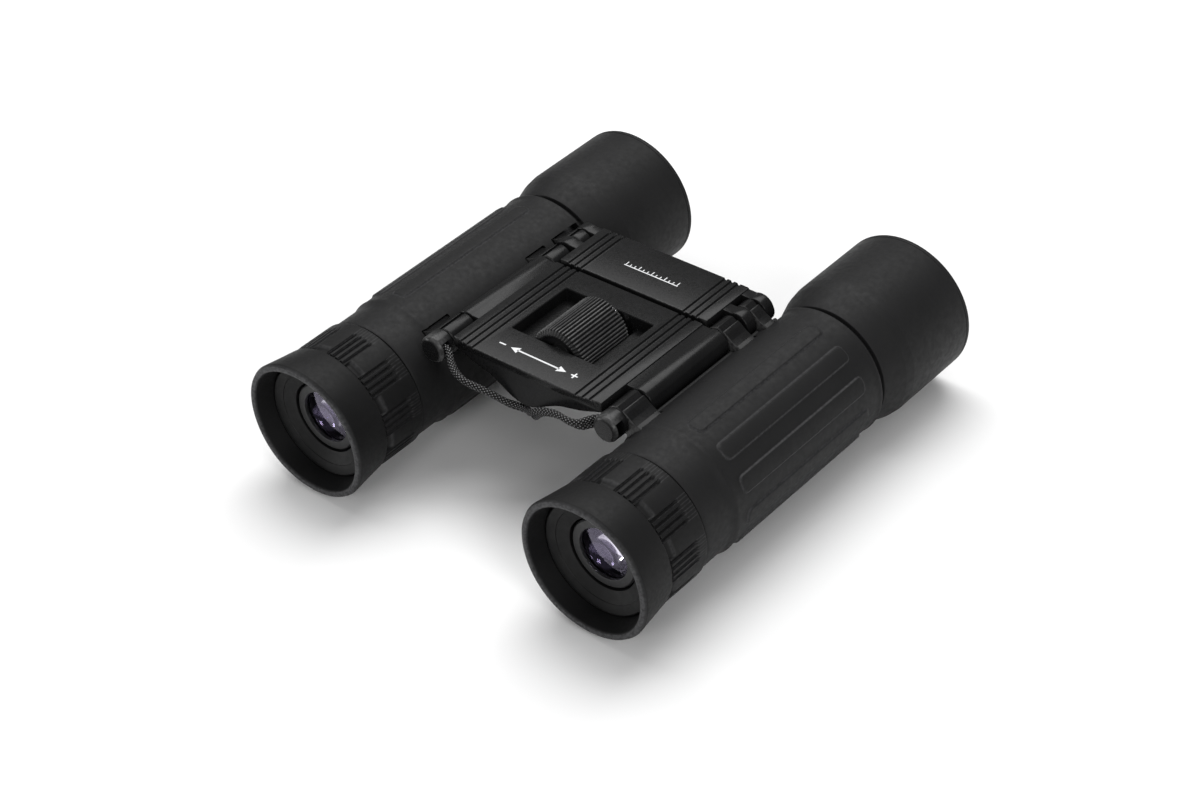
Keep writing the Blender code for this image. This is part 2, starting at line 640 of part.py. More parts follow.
def make_objective(side_name, side, materials):
    x = side * HALF_SPACING
    origin = at(side * HINGE_X, 73, HINGE_Z)
    solid = [(TUBE[0], 0.0), (TUBE[0], 11.5), (82.3, 11.5), (84.1, 14.3), (TUBE[1], 14.3), (TUBE[1], 0.0)]
    item = revolve(f"{side_name}_objective_tube", solid, x, 0, SEG_MID, materials["black_anodised"],
                   origin, TURN * side)
    arm = arm_tool(f"cut_{side_name}_objective_arm", side, OBJECTIVE_ARM_OUTLINE, [OBJECTIVE_ARM])
    boolean(item, arm, "UNION")
    bm = bmesh.new()
    cylinder_into(bm, side * HINGE_X, HINGE_Z, ROD_BORE, 69.0, 77.0, 16)
    boolean(item, cutter(f"cut_{side_name}_objective_rod_bore", bm), "DIFFERENCE")
    bore = [(50.0, 0.0), (50.0, 10.2), (83.4, 10.2), (85.2, 12.1), (97.0, 12.1), (97.0, 13.1), (110.0, 13.1),
            (110.0, 0.0)]
    boolean(item, cutter(f"cut_{side_name}_objective_bore",
                         revolved_bmesh(bore, x, 0, SEG_MID, BORE_TURN * side)), "DIFFERENCE")

    hood = [
        (80.0, 11.8), (80.0, 14.2), (82.6, 14.8), (86.4, 16.1), (88.4, HOOD_R), (109.0, HOOD_R),
        (110.0, 15.6), (110.0, 14.3), (109.3, 13.6), (107.6, 13.6), (107.6, 14.6), (83.8, 14.6),
        (82.0, 11.8),
    ]
    revolve(f"{side_name}_hood", hood, x, 0, SEG_OUTER, materials["armour_rubber"], origin)
    lens = [(97.3, 0.0), (97.9, 8.0), (98.7, 12.8), (101.6, 12.8), (102.6, 8.0), (103.2, 0.0)]
    rear = [(97.3, 0.0), (97.3, 12.8), (99.4, 12.8), (100.1, 7.0), (100.3, 0.0)]
    revolve(f"{side_name}_objective_flint", rear, x, 0, SEG_INNER, materials["coated_glass"], origin)
    lens = [(100.6, 0.0), (100.4, 7.0), (99.7, 12.8), (102.4, 12.8), (103.6, 7.0), (103.9, 0.0)]
    revolve(f"{side_name}_objective_crown", lens, x, 0, SEG_INNER, materials["coated_glass"], origin)
    revolve(f"{side_name}_objective_retainer", tube_profile(104.3, 106.0, 12.2, 12.8), x, 0, SEG_INNER,
            materials["black_anodised"], origin)


def settle_to_metres():
    """Work out the cuts at millimetre scale, drop the cutters and bring every solid to metres."""
    bpy.context.view_layer.update()
    graph = bpy.context.evaluated_depsgraph_get()
    solids = [item for item in bpy.data.objects if item.type == "MESH" and not item.hide_render]
    cutters = [item for item in bpy.data.objects if item.type == "MESH" and item.hide_render]
    settled = {item: bpy.data.meshes.new_from_object(item.evaluated_get(graph)) for item in solids}
    for item, mesh in settled.items():
        item.modifiers.clear()
        mesh.transform(Matrix.Scale(MM, 4))
        mesh.name = item.name
        item.data = mesh
        item.location = item.location * MM
    for item in cutters:
        bpy.data.objects.remove(item, do_unlink=True)


def build():
    clear_scene()
    materials = make_materials()
    make_rear_bridge(materials)
    make_front_bridge(materials)
    make_focus_drive(materials)
    make_hinge_hardware(materials)
    make_carrying_loop(materials)
    for side_name, side in FOLD_SIDES.items():
        make_body(side_name, side, materials)
        make_armour(side_name, side, materials)
        make_prism_unit(side_name, side, materials)
        make_eyepiece(side_name, side, materials)
        make_objective(side_name, side, materials)
    settle_to_metres()


build()
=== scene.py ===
"""Looks of compact folding binoculars: rubber armoured barrels, satin hinge bridge, focus wheel and loop.

Working units are millimetres: x to the user's right, station forward from the eyecup rims, height above
the optical axes. Pieces are moved to the CAD frame's metres when they are finished.
"""
import math

import bmesh
import bpy
import numpy as np
from mathutils import Matrix, Quaternion, Vector


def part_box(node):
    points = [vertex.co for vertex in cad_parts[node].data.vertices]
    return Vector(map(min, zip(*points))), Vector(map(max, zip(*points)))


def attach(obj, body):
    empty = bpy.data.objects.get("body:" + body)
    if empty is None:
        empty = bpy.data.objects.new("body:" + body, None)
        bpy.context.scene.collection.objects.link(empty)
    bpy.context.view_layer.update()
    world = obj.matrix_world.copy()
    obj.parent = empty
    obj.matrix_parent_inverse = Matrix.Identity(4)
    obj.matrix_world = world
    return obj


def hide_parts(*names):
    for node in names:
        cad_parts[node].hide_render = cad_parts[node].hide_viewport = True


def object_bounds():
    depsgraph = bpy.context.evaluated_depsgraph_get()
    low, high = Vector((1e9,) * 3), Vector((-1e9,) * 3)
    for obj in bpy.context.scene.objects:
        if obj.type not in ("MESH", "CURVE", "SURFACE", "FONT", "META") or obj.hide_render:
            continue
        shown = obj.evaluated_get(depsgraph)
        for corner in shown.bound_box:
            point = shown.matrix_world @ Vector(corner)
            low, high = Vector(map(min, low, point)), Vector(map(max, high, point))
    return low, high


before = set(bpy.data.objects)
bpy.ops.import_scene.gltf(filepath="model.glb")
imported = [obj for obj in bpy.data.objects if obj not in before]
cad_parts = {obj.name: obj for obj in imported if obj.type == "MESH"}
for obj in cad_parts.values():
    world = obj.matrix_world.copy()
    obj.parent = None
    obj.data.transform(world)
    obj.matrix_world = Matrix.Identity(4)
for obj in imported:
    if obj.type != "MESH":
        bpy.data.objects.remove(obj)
CAD_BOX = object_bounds()

MM = 0.001
HOOD_LOW, HOOD_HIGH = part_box("right_hood")
HALF_SPACING = (HOOD_LOW[0] + HOOD_HIGH[0]) / 2 / MM
AXIS_HEIGHT = (HOOD_LOW[2] + HOOD_HIGH[2]) / 2 / MM
REAR = -CAD_BOX[0][1] / MM
SIDES = {"left": -1, "right": 1}

# Lengths are in millimetres and angles in degrees. Spans are (start, end) stations, profiles are
# (station, radius, fillet) corners, and each HALF is half a width.

# hinge bridge
PLATE_TOP = 15.1
PLATE_HALF = 19.8
PLATE_CORNER = 0.3
PLATE_CORNER_MIDDLE = 0.09
PLATE_END_ROUND = 0.16
BELLY_X = (0.0, 1.2, 3.5, 6.5, 9.3, 14.7, 17.4, 19.8)
BELLY_HEIGHT = (6.6, 6.7, 7.4, 9.1, 10.3, 11.2, 12.0, 12.6)
WEB_TOP = 14.8
WEB_FLOOR = 11.7
WEB_INNER = 18.6
REAR_BOW = 1.4
REAR_PLATE = (27.4, 61.75)
FRONT_PLATE = (63.0, 77.5)
LONG_KNUCKLE = (36.6, 61.75)
FINGERS = ((68.3, 71.1), (74.7, 77.5))
HINGE = (23.2, 12.05)
KNUCKLE_R = 3.05
KNUCKLE_SWELL = 0.33
SWELL_MIDDLE = -42
SWELL_HALF_ANGLE = 60
KNUCKLE_START_ANGLE = -110
GROOVE_X = (13.8, 15.5, 17.2)
GROOVE_HALF = 0.42
GROOVE_DEPTH = 0.45
WINDOW_HALF = 11.78
WINDOW = (38.0, 55.4)
WINDOW_CORNER = 0.35
WINDOW_CHAMFER = 0.16
POCKET_FLOOR = 12.2
WHEEL_SLOT_HALF = 7.5
CUT_EXTRA = 0.4
PRINT_HEIGHTS = (PLATE_TOP - 0.02, PLATE_TOP + 0.015)
EYELET_PROFILE = (
    (25.0, 0.0, 0), (25.0, 2.3, 0.12), (25.25, 2.75, 0.1), (25.8, KNUCKLE_R, 0.25), (29.2, KNUCKLE_R, 0.2),
    (29.2, 1.5, 0), (28.3, 1.5, 0), (28.3, 0.0, 0),
)
EYELET_SLOT_STATION = 27.0
EYELET_SLOT_HALVES = (5.0, 1.0)
EYELET_SLOT_HALF_HEIGHT = 1.85

# focus wheel
WHEEL_HEIGHT = 11.57
WHEEL_R = 6.92
WHEEL = (38.4, 53.6)
WHEEL_CORNER = 0.55
WHEEL_HUB_R = 2.4
WHEEL_RIDGES = 52
RIDGE_DEPTH = 0.48
RIDGE_END_SHARE = 0.45

# barrels
REAR_ARM = (29.5, 36.3)
FRONT_ARM = (62.2, 67.4)
OBJECTIVE_ARM = (71.4, 74.4)
ARMOUR = (20.7, 79.2)
ARMOUR_R = 14.9
ARMOUR_NECK_R = 14.45
ARMOUR_BORE = 13.6
NECK_SWELL = (27.9, 30.4)
NECK_STATIONS = (21.9, 23.5, 25.0, 26.5, 27.6, 28.2, 28.7, 29.2, 29.7, 30.2, 30.8, 31.4)
LIP_STATION, LIP_WIDTH, LIP_RISE = 30.3, 0.45, 0.12
OBJECTIVE_ARM_CUT = (70.4, 85.0)
PAD_SPAN = (33.0, 74.0)
PAD_HALF = 1.95
PAD_CORNER = 1.25
PAD_SHOULDER = (-0.34, 0.2)
PAD_REACH_DEGREES = 14
# each pad's middle in degrees from the outer side and its rise; the last is the ridge beside the long knuckle
PADS = (
    (-124.5, 0.42), (-95.0, 0.42), (-65.5, 0.42), (-36.0, 0.42), (-6.5, 0.42), (23.0, 0.42), (52.5, 0.42),
    (82.0, 0.42), (139.9, 0.47),
)
RING = (9.5, 20.3)
RING_R = 14.9
RING_GROUPS = 10
GROOVES_PER_GROUP = 4
GROOVE_PITCH = 5.5
GROOVE_SHOULDER = (0.9, 1.75)
GROOVE_END = (17.1, 17.9)
RING_GROOVE_DEPTH = 0.62
PANEL_SHOULDER = (1.8, 3.0)
PANEL_CHAMFER = 0.55
FIRST_GROUP = {"left": 180.0 - 63.6, "right": 3.0}
MOUTH_TURN = -41.4
MOUTH_SQUEEZE = {2: 0.28, 4: 0.14}
MOUTH_DEPTH = 7.5
EYE_LENS_RADII = (0.0, 1.0, 2.0, 3.0, 4.0, 5.0, 5.8, 6.6)
EYE_LENS_NEAR = (6.85, 0.016)
EYE_LENS_FAR = (9.6, -0.038)
OBJECTIVE_RADII = (11.5, 10.0, 8.0, 6.0, 4.0, 2.0, 0.0)
OBJECTIVE_FRONT = (103.9, -0.0092)

# carrying loop
LOOP_ROUTE = (
    (-24.6, 27.0, 12.05), (-22.4, 27.0, 12.05), (-20.3, 26.95, 12.0), (-18.7, 26.1, 11.6),
    (-17.0, 24.8, 11.0), (-14.8, 23.7, 10.5), (-12.2, 23.2, 10.0), (-9.2, 23.9, 9.2), (-6.4, 25.1, 7.9),
    (-4.0, 26.4, 6.3), (-1.8, 27.8, 5.2), (0.6, 28.1, 5.0), (2.9, 26.5, 6.1), (5.0, 25.2, 8.2),
    (7.8, 24.9, 10.0), (11.3, 24.8, 10.9), (14.6, 24.4, 11.0), (17.2, 24.8, 11.1),
    (18.8, 26.1, 11.6), (20.3, 26.95, 12.0), (22.4, 27.0, 12.05), (24.6, 27.0, 12.05),
)
LOOP_R = 0.62
STRAND_OFFSET = 0.8
STRANDS = {"upper": 1.0, "lower": -1.0}
STACKED_BEYOND_X = 20.0
LEAN_RUN = 5.0
LEAN_BACK = 0.5
LEAN_UP, LEAN_DROP = 0.8, 0.15
BRAID_YARNS = 6
BRAID_PITCH = 1.7
BRAID_STEP = 0.11
BRAID_SIDES = 40
BRAID_VALLEY, BRAID_CROWN = 0.88, 0.26

# camera: bearing and height round its target, roll of the frame, distance and focal length
CAMERA = {"azimuth": 42.0, "elevation": 37.16, "roll": -4.09, "distance": 562.3, "lens": 81.1}
CAMERA_TARGET = Vector((5.6, -10.8, 16.4))


def at(x, station, height):
    """Point of the CAD frame, still in millimetres."""
    return Vector((x, station - REAR, height + AXIS_HEIGHT))


def smoothstep(low, high, value):
    t = min(1.0, max(0.0, (value - low) / (high - low)))
    return t * t * (3 - 2 * t)


# ---------------------------------------------------------------- materials


def new_material(name):
    material = bpy.data.materials.new(name)
    material.use_nodes = True
    tree = material.node_tree
    return material, tree.nodes, tree.links, tree.nodes["Principled BSDF"]


def noise(nodes, links, scale, detail=3.0, roughness=0.55, stretch=None):
    """Noise in the CAD frame's metres; stretch scales each axis of it."""
    coordinates = nodes.new("ShaderNodeTexCoord")
    texture = nodes.new("ShaderNodeTexNoise")
    texture.inputs["Scale"].default_value = scale
    texture.inputs["Detail"].default_value = detail
    texture.inputs["Roughness"].default_value = roughness
    source = coordinates.outputs["Object"]
    if stretch:
        mapping = nodes.new("ShaderNodeMapping")
        mapping.inputs["Scale"].default_value = stretch
        links.new(source, mapping.inputs["Vector"])
        source = mapping.outputs["Vector"]
    links.new(source, texture.inputs["Vector"])
    return texture.outputs["Fac"]


def remap(nodes, links, source, low, high, to_low, to_high):
    node = nodes.new("ShaderNodeMapRange")
    node.inputs["From Min"].default_value = low
    node.inputs["From Max"].default_value = high
    node.inputs["To Min"].default_value = to_low
    node.inputs["To Max"].default_value = to_high
    links.new(source, node.inputs["Value"])
    return node.outputs["Result"]


def mix_colour(nodes, links, factor, one, two):
    node = nodes.new("ShaderNodeMix")
    node.data_type = "RGBA"
    links.new(factor, node.inputs["Factor"])
    for socket, value in ((node.inputs["A"], one), (node.inputs["B"], two)):
        if isinstance(value, tuple):
            socket.default_value = (*value, 1.0)
        else:
            links.new(value, socket)
    return node.outputs["Result"]


def add_bumps(nodes, links, shader, layers):
    """Stacks bump layers, each (height output, strength, distance in metres)."""
    previous = None
    for height, strength, distance in layers:
        bump = nodes.new("ShaderNodeBump")
        bump.inputs["Strength"].default_value = strength
        bump.inputs["Distance"].default_value = distance
        links.new(height, bump.inputs["Height"])
        if previous:
            links.new(previous, bump.inputs["Normal"])
        previous = bump.outputs["Normal"]
    links.new(previous, shader.inputs["Normal"])


def surface(name, dark, light, rough, patch=90.0, grain=5200.0, grain_depth=0.00002, grain_strength=0.35,
            metallic=0.0, highlight_and_wear_colour=None, specular=0.5):
    """Moulded or painted surface: colour patches, fine grain, slow unevenness, and pale edges that are partly
    painted highlight and partly wear.

    patch and grain are noise scales, rough is (low, high), and grain_depth is in metres.
    """
    material, nodes, links, shader = new_material(name)
    patches = remap(nodes, links, noise(nodes, links, patch, 5.0), 0.36, 0.66, 0.0, 1.0)
    colour = mix_colour(nodes, links, patches, dark, light)
    grain_height = noise(nodes, links, grain, 2.0)
    # Pale edge colour where the point attribute marks it: painted highlights along edges, partly also wear, broken
    # up by noise.
    if highlight_and_wear_colour:
        attribute = nodes.new("ShaderNodeAttribute")
        attribute.attribute_name = "highlight_and_wear"
        patchiness = noise(nodes, links, 1400.0, 4.0)
        amount = nodes.new("ShaderNodeMath")
        amount.operation = "MULTIPLY"
        links.new(attribute.outputs["Fac"], amount.inputs[0])
        links.new(remap(nodes, links, patchiness, 0.35, 0.6, 0.35, 1.0), amount.inputs[1])
        colour = mix_colour(nodes, links, amount.outputs[0], colour, highlight_and_wear_colour)
    links.new(colour, shader.inputs["Base Color"])
    rough_low, rough_high = rough
    rough_noise = noise(nodes, links, patch * 9.0, 3.0)
    links.new(remap(nodes, links, rough_noise, 0.3, 0.7, rough_low, rough_high), shader.inputs["Roughness"])
    shader.inputs["Metallic"].default_value = metallic
    shader.inputs["Specular IOR Level"].default_value = specular
    unevenness = noise(nodes, links, 700.0, 1.0)
    add_bumps(nodes, links, shader, [(unevenness, 0.07, 0.00003), (grain_height, grain_strength, grain_depth)])
    return material


def brushed_metal(name, colour, rough, stretch):
    """Bare metal with fine machining lines drawn out along the axis that stretch shrinks."""
    material, nodes, links, shader = new_material(name)
    lines = noise(nodes, links, 900.0, 6.0, 0.7, stretch)
    darker = tuple(channel * 0.72 for channel in colour)
    links.new(mix_colour(nodes, links, lines, darker, colour), shader.inputs["Base Color"])
    links.new(remap(nodes, links, lines, 0.3, 0.7, rough - 0.08, rough + 0.12), shader.inputs["Roughness"])
    shader.inputs["Metallic"].default_value = 1.0
    add_bumps(nodes, links, shader, [(lines, 0.2, 0.00001)])
    return material


def coated_lens(name, tint, film):
    """Tinted glass with a coloured anti-reflection film and a little dust."""
    material, nodes, links, shader = new_material(name)
    dust = noise(nodes, links, 2600.0, 6.0, 0.7)
    specks = remap(nodes, links, dust, 0.72, 0.82, 0.0, 0.6)
    links.new(mix_colour(nodes, links, specks, tint, (0.5, 0.5, 0.55)), shader.inputs["Base Color"])
    links.new(remap(nodes, links, dust, 0.66, 0.85, 0.012, 0.12), shader.inputs["Roughness"])
    shader.inputs["Transmission Weight"].default_value = 1.0
    shader.inputs["IOR"].default_value = 1.8
    shader.inputs["Specular Tint"].default_value = (*film, 1.0)
    return material


def braid_material(name):
    """Yarns of a braid: dark valleys, and pale fibres on the crowns as painted highlights of the yarns; the point
    attribute marks the crowns.
    """
    material, nodes, links, shader = new_material(name)
    attribute = nodes.new("ShaderNodeAttribute")
    attribute.attribute_name = "highlight_and_wear"
    fibres = noise(nodes, links, 9000.0, 3.0)
    crown_highlight = mix_colour(nodes, links, fibres, (0.1, 0.1, 0.102), (0.4, 0.4, 0.405))
    crown = remap(nodes, links, attribute.outputs["Fac"], 0.8, 0.92, 0.0, 1.0)
    links.new(mix_colour(nodes, links, crown, (0.002, 0.002, 0.002), crown_highlight), shader.inputs["Base Color"])
    shader.inputs["Roughness"].default_value = 0.45
    shader.inputs["Specular IOR Level"].default_value = 0.15
    add_bumps(nodes, links, shader, [(fibres, 0.5, 0.00003)])
    return material


def make_materials():
    # The pale edge colours below are painted highlights on the edges that each piece marks, partly also wear.
    return {
        "armour": surface("armour_rubber", (0.0075, 0.0075, 0.0078), (0.0095, 0.0094, 0.0098), (0.52, 0.66),
                          highlight_and_wear_colour=(0.04, 0.04, 0.042), grain_depth=0.00003, grain_strength=0.45, specular=0.21),
        "cup": surface("eyecup_rubber", (0.0058, 0.0058, 0.006), (0.0078, 0.0077, 0.008), (0.5, 0.62),
                       highlight_and_wear_colour=(0.075, 0.075, 0.078), patch=120.0, grain_strength=0.3, specular=0.17),
        "paint": surface("satin_paint", (0.0065, 0.0065, 0.0068), (0.0085, 0.0085, 0.0088), (0.24, 0.32),
                         highlight_and_wear_colour=(0.12, 0.12, 0.12), patch=160.0, grain=3800.0, grain_depth=0.000008,
                         grain_strength=0.07, specular=0.18),
        "wheel": surface("wheel_paint", (0.0065, 0.0065, 0.0068), (0.011, 0.011, 0.0114), (0.34, 0.5),
                         highlight_and_wear_colour=(0.18, 0.18, 0.18), patch=300.0, grain=6000.0, specular=0.35),
        # Darker than the other black plastics: painted shade for the deep bowl inside the eyecup.
        "shaded_bowl": surface("bowl_plastic_painted_shade", (0.0035, 0.0035, 0.0036), (0.005, 0.005, 0.0052), (0.4, 0.55),
                        grain=4200.0, grain_depth=0.000015, specular=0.22),
        "plastic": surface("moulded_plastic", (0.012, 0.012, 0.0125), (0.018, 0.018, 0.0185), (0.42, 0.55),
                           highlight_and_wear_colour=(0.08, 0.08, 0.08), grain=4200.0, grain_depth=0.000015),
        "anodised": surface("black_anodised", (0.01, 0.01, 0.011), (0.02, 0.02, 0.022), (0.35, 0.5),
                            metallic=0.6, patch=200.0, grain=7000.0, grain_depth=0.00001),
        "steel": brushed_metal("ground_steel", (0.55, 0.55, 0.56), 0.28, (6.0, 0.4, 6.0)),
        "brass": brushed_metal("machined_brass", (0.72, 0.52, 0.2), 0.3, (0.4, 6.0, 0.4)),
        "lens": coated_lens("coated_glass", (0.82, 0.77, 0.94), (0.75, 0.66, 1.0)),
        "prism": coated_lens("prism_glass", (0.3, 0.3, 0.32), (1.0, 1.0, 1.0)),
        "cord": braid_material("braided_cord"),
        "print": surface("white_print", (0.72, 0.73, 0.74), (0.82, 0.83, 0.84), (0.45, 0.6), patch=500.0,
                         grain_depth=0.00001),
    }


# ---------------------------------------------------------------- mesh tools


def finish(name, bm, material, body, nodes=(), sharp=32.0):
    """Closes a bmesh in millimetres into a piece in metres that rides on a CAD body."""
    clean(bm)
    bmesh.ops.transform(bm, matrix=Matrix.Scale(MM, 4), verts=bm.verts)
    mesh = bpy.data.meshes.new(name)
    bm.to_mesh(mesh)
    bm.free()
    mesh.materials.append(material)
    mesh.shade_smooth()
    mesh.set_sharp_from_angle(angle=math.radians(sharp))
    piece = bpy.data.objects.new(name, mesh)
    bpy.context.scene.collection.objects.link(piece)
    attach(piece, body)
    if nodes:
        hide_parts(*nodes)
    return piece


def clean(bm):
    """Joins points that coincide and turns every face outward."""
    bmesh.ops.remove_doubles(bm, verts=bm.verts, dist=1e-4)
    bmesh.ops.recalc_face_normals(bm, faces=bm.faces)


def stitch(bm, one, two):
    """Quads between two rings of the same count."""
    count = len(one)
    for index in range(count):
        following = (index + 1) % count
        bm.faces.new((one[index], one[following], two[following], two[index]))


def filleted(corners):
    """Outline of (a, b, radius) corners with each one rounded by its radius, in steps of 15 degrees or so."""
    nearly_straight = math.radians(176)
    longest_cut = 0.48
    points = []
    count = len(corners)
    for index, (a, b, radius) in enumerate(corners):
        here = Vector((a, b))
        before = Vector(corners[index - 1][:2]) - here
        after = Vector(corners[(index + 1) % count][:2]) - here
        if radius <= 0 or min(before.length, after.length) < 1e-6 or before.angle(after) > nearly_straight:
            points.append((here.x, here.y))
            continue
        angle = before.angle(after)
        cut = min(radius / math.tan(angle / 2), before.length * longest_cut, after.length * longest_cut)
        start, end = here + before.normalized() * cut, here + after.normalized() * cut
        steps = max(2, round(math.degrees(math.pi - angle) / 15))
        for step in range(steps + 1):
            t = step / steps
            points.append(tuple(start * (1 - t) ** 2 + here * 2 * t * (1 - t) + end * t * t))
    return points


def turned(corners, x, height, segments, modulate=None):
    """Closed solid of revolution about the line at (x, height), from a (station, radius, fillet) profile.

    modulate(station, radius, angle) can change the radius round the solid.
    """
    bm = bmesh.new()
    rings = []
    for station, radius in filleted(corners):
        if radius < 1e-6:
            rings.append([bm.verts.new(at(x, station, height))])
            continue
        ring = []
        for index in range(segments):
            angle = 2 * math.pi * index / segments
            r = modulate(station, radius, angle) if modulate else radius
            ring.append(bm.verts.new(at(x + r * math.cos(angle), station, height + r * math.sin(angle))))
        rings.append(ring)
    for one, two in zip(rings, rings[1:] + rings[:1]):
        if len(one) == 1 and len(two) == 1:
            continue
        if len(one) == 1 or len(two) == 1:
            point, ring = (one[0], two) if len(one) == 1 else (two[0], one)
            for index in range(segments):
                bm.faces.new((point, ring[index], ring[(index + 1) % segments]))
        else:
            stitch(bm, one, two)
    return bm


def inset(outline, distance):
    """Outline moved inward by a small distance."""
    area = sum(p[0] * q[1] - q[0] * p[1] for p, q in zip(outline, outline[1:] + outline[:1]))
    turn = 1 if area > 0 else -1
    moved = []
    for last, here, following in zip(outline[-1:] + outline[:-1], outline, outline[1:] + outline[:1]):
        before, after = Vector(here) - Vector(last), Vector(following) - Vector(here)
        along = (before.normalized() + after.normalized()).normalized()
        moved.append((here[0] - along.y * turn * distance, here[1] + along.x * turn * distance))
    return moved


def skin(bm, rings):
    """Side faces through all rings, and a cap at each end."""
    for one, two in zip(rings, rings[1:]):
        stitch(bm, one, two)
    bm.faces.new(rings[0])
    bm.faces.new(rings[-1])


def bar(bm, outline, start, end, round_off, bow=None):
    """Solid along the stations with the (x, height) outline and rounded ends; bow(x) sets its start back."""
    rings = []
    for near_start in (True, False):
        for degrees in (0, 30, 60, 90):
            angle = math.radians(degrees)
            one, two = round_off * (1 - math.cos(angle)), round_off * (1 - math.sin(angle))
            slip, depth = (one, two) if near_start else (two, one)
            ring = []
            for x, height in inset(outline, depth):
                offset = bow(x) if bow else 0.0
                station = start + offset + slip if near_start else end - slip
                ring.append(bm.verts.new(at(x, station, height)))
            rings.append(ring)
    skin(bm, rings)


def loft_up(bm, sections):
    """Solid through (height, outline) sections, each outline a list of (x, station)."""
    skin(bm, [[bm.verts.new(at(x, station, height)) for x, station in outline] for height, outline in sections])


def rounded_rectangle(centre, half, radius):
    cx, cy = centre
    hx, hy = half
    return filleted([(cx - hx, cy - hy, radius), (cx + hx, cy - hy, radius), (cx + hx, cy + hy, radius),
                     (cx - hx, cy + hy, radius)])


def carved(bm, tools):
    """Cuts the tools out of a solid, all in millimetres, and returns the result as a bmesh."""
    def loose(source):
        clean(source)
        mesh = bpy.data.meshes.new("carving")
        source.to_mesh(mesh)
        source.free()
        item = bpy.data.objects.new("carving", mesh)
        bpy.context.scene.collection.objects.link(item)
        return item

    solid = loose(bm)
    cutters = [loose(tool) for tool in tools]
    for item in cutters:
        modifier = solid.modifiers.new("cut", "BOOLEAN")
        modifier.operation = "DIFFERENCE"
        modifier.solver = "EXACT"
        modifier.object = item
    graph = bpy.context.evaluated_depsgraph_get()
    mesh = bpy.data.meshes.new_from_object(solid.evaluated_get(graph))
    result = bmesh.new()
    result.from_mesh(mesh)
    for item in [solid, *cutters]:
        bpy.data.objects.remove(item, do_unlink=True)
    return result


def paint_highlight_and_wear(piece, amount_at):
    """Stores how strongly each point takes the pale edge colour, from 0 to 1: painted highlight, partly also wear.
    """
    mesh = piece.data
    attribute = mesh.attributes.new("highlight_and_wear", "FLOAT", "POINT")
    values = [amount_at(vertex.co / MM) for vertex in mesh.vertices]
    attribute.data.foreach_set("value", values)


# ---------------------------------------------------------------- bridge


def belly_height(x):
    """Underside of the bridge: shallow at the sides, a blunt keel in the middle."""
    near = [float(np.interp(abs(x + shift), BELLY_X, BELLY_HEIGHT)) for shift in (-0.8, -0.4, 0.0, 0.4, 0.8)]
    return sum(near) / len(near)


def plate_outline():
    """Cross-section of the bridge plates, with three rounded grooves along each side of the top."""
    corner = ((0.0, PLATE_CORNER), (PLATE_CORNER_MIDDLE, PLATE_CORNER_MIDDLE), (PLATE_CORNER, 0.0))
    top = [(-PLATE_HALF + inward, PLATE_TOP - down) for inward, down in corner]
    for groove in sorted([-x for x in GROOVE_X] + list(GROOVE_X)):
        for step in range(-6, 7):
            t = step / 6
            depth = GROOVE_DEPTH * max(0.0, 1 - abs(t) ** 3.0) ** 0.75
            top.append((groove + GROOVE_HALF * t, PLATE_TOP - depth))
    top += [(PLATE_HALF - inward, PLATE_TOP - down) for inward, down in reversed(corner)]
    across = [PLATE_HALF * math.cos(math.pi * step / 64) for step in range(65)]
    return top + [(x, belly_height(x)) for x in across]


def knuckle_outline(side):
    """Hinge knuckle joined by a web to the plate, a little below its top; it swells towards the barrel."""
    x0, z0 = HINGE
    last = 180 - math.degrees(math.asin((WEB_TOP - z0) / KNUCKLE_R))
    outline = [(WEB_INNER, WEB_TOP), (WEB_INNER, WEB_FLOOR)]
    for step in range(41):
        degrees = KNUCKLE_START_ANGLE + (last - KNUCKLE_START_ANGLE) * step / 40
        from_middle = (degrees - SWELL_MIDDLE) / SWELL_HALF_ANGLE
        radius = KNUCKLE_R + KNUCKLE_SWELL * max(0.0, 1 - from_middle ** 2)
        angle = math.radians(degrees)
        outline.append((x0 + radius * math.cos(angle), z0 + radius * math.sin(angle)))
    return [(side * x, height) for x, height in outline]


def flat_print(name, outlines, body, material):
    """Thin printed marks on the plates' flat top; outlines are lists of (x, station)."""
    bm = bmesh.new()
    for outline in outlines:
        loft_up(bm, [(height, outline) for height in PRINT_HEIGHTS])
    return finish(name, bm, material, body)


def rear_bow(x):
    """How far the rear plate's hollow rear edge lies further forward than its middle."""
    return REAR_BOW * (x / PLATE_HALF) ** 2


def window_cutters():
    """The wheel's window with its chamfered edge and shallow pocket, and the slot through the pocket."""
    centre = (0.0, sum(WINDOW) / 2)
    half_length = (WINDOW[1] - WINDOW[0]) / 2
    spread = WINDOW_CHAMFER + CUT_EXTRA
    straight = rounded_rectangle(centre, (WINDOW_HALF, half_length), WINDOW_CORNER)
    widest = rounded_rectangle(centre, (WINDOW_HALF + spread, half_length + spread), WINDOW_CORNER)
    window = bmesh.new()
    loft_up(window, [(POCKET_FLOOR, straight), (PLATE_TOP - WINDOW_CHAMFER, straight),
                     (PLATE_TOP + CUT_EXTRA, widest)])
    slot = bmesh.new()
    through = rounded_rectangle(centre, (WHEEL_SLOT_HALF, half_length - 0.02), 0.3)
    loft_up(slot, [(0.0, through), (POCKET_FLOOR + 0.5, through)])
    return [window, slot]


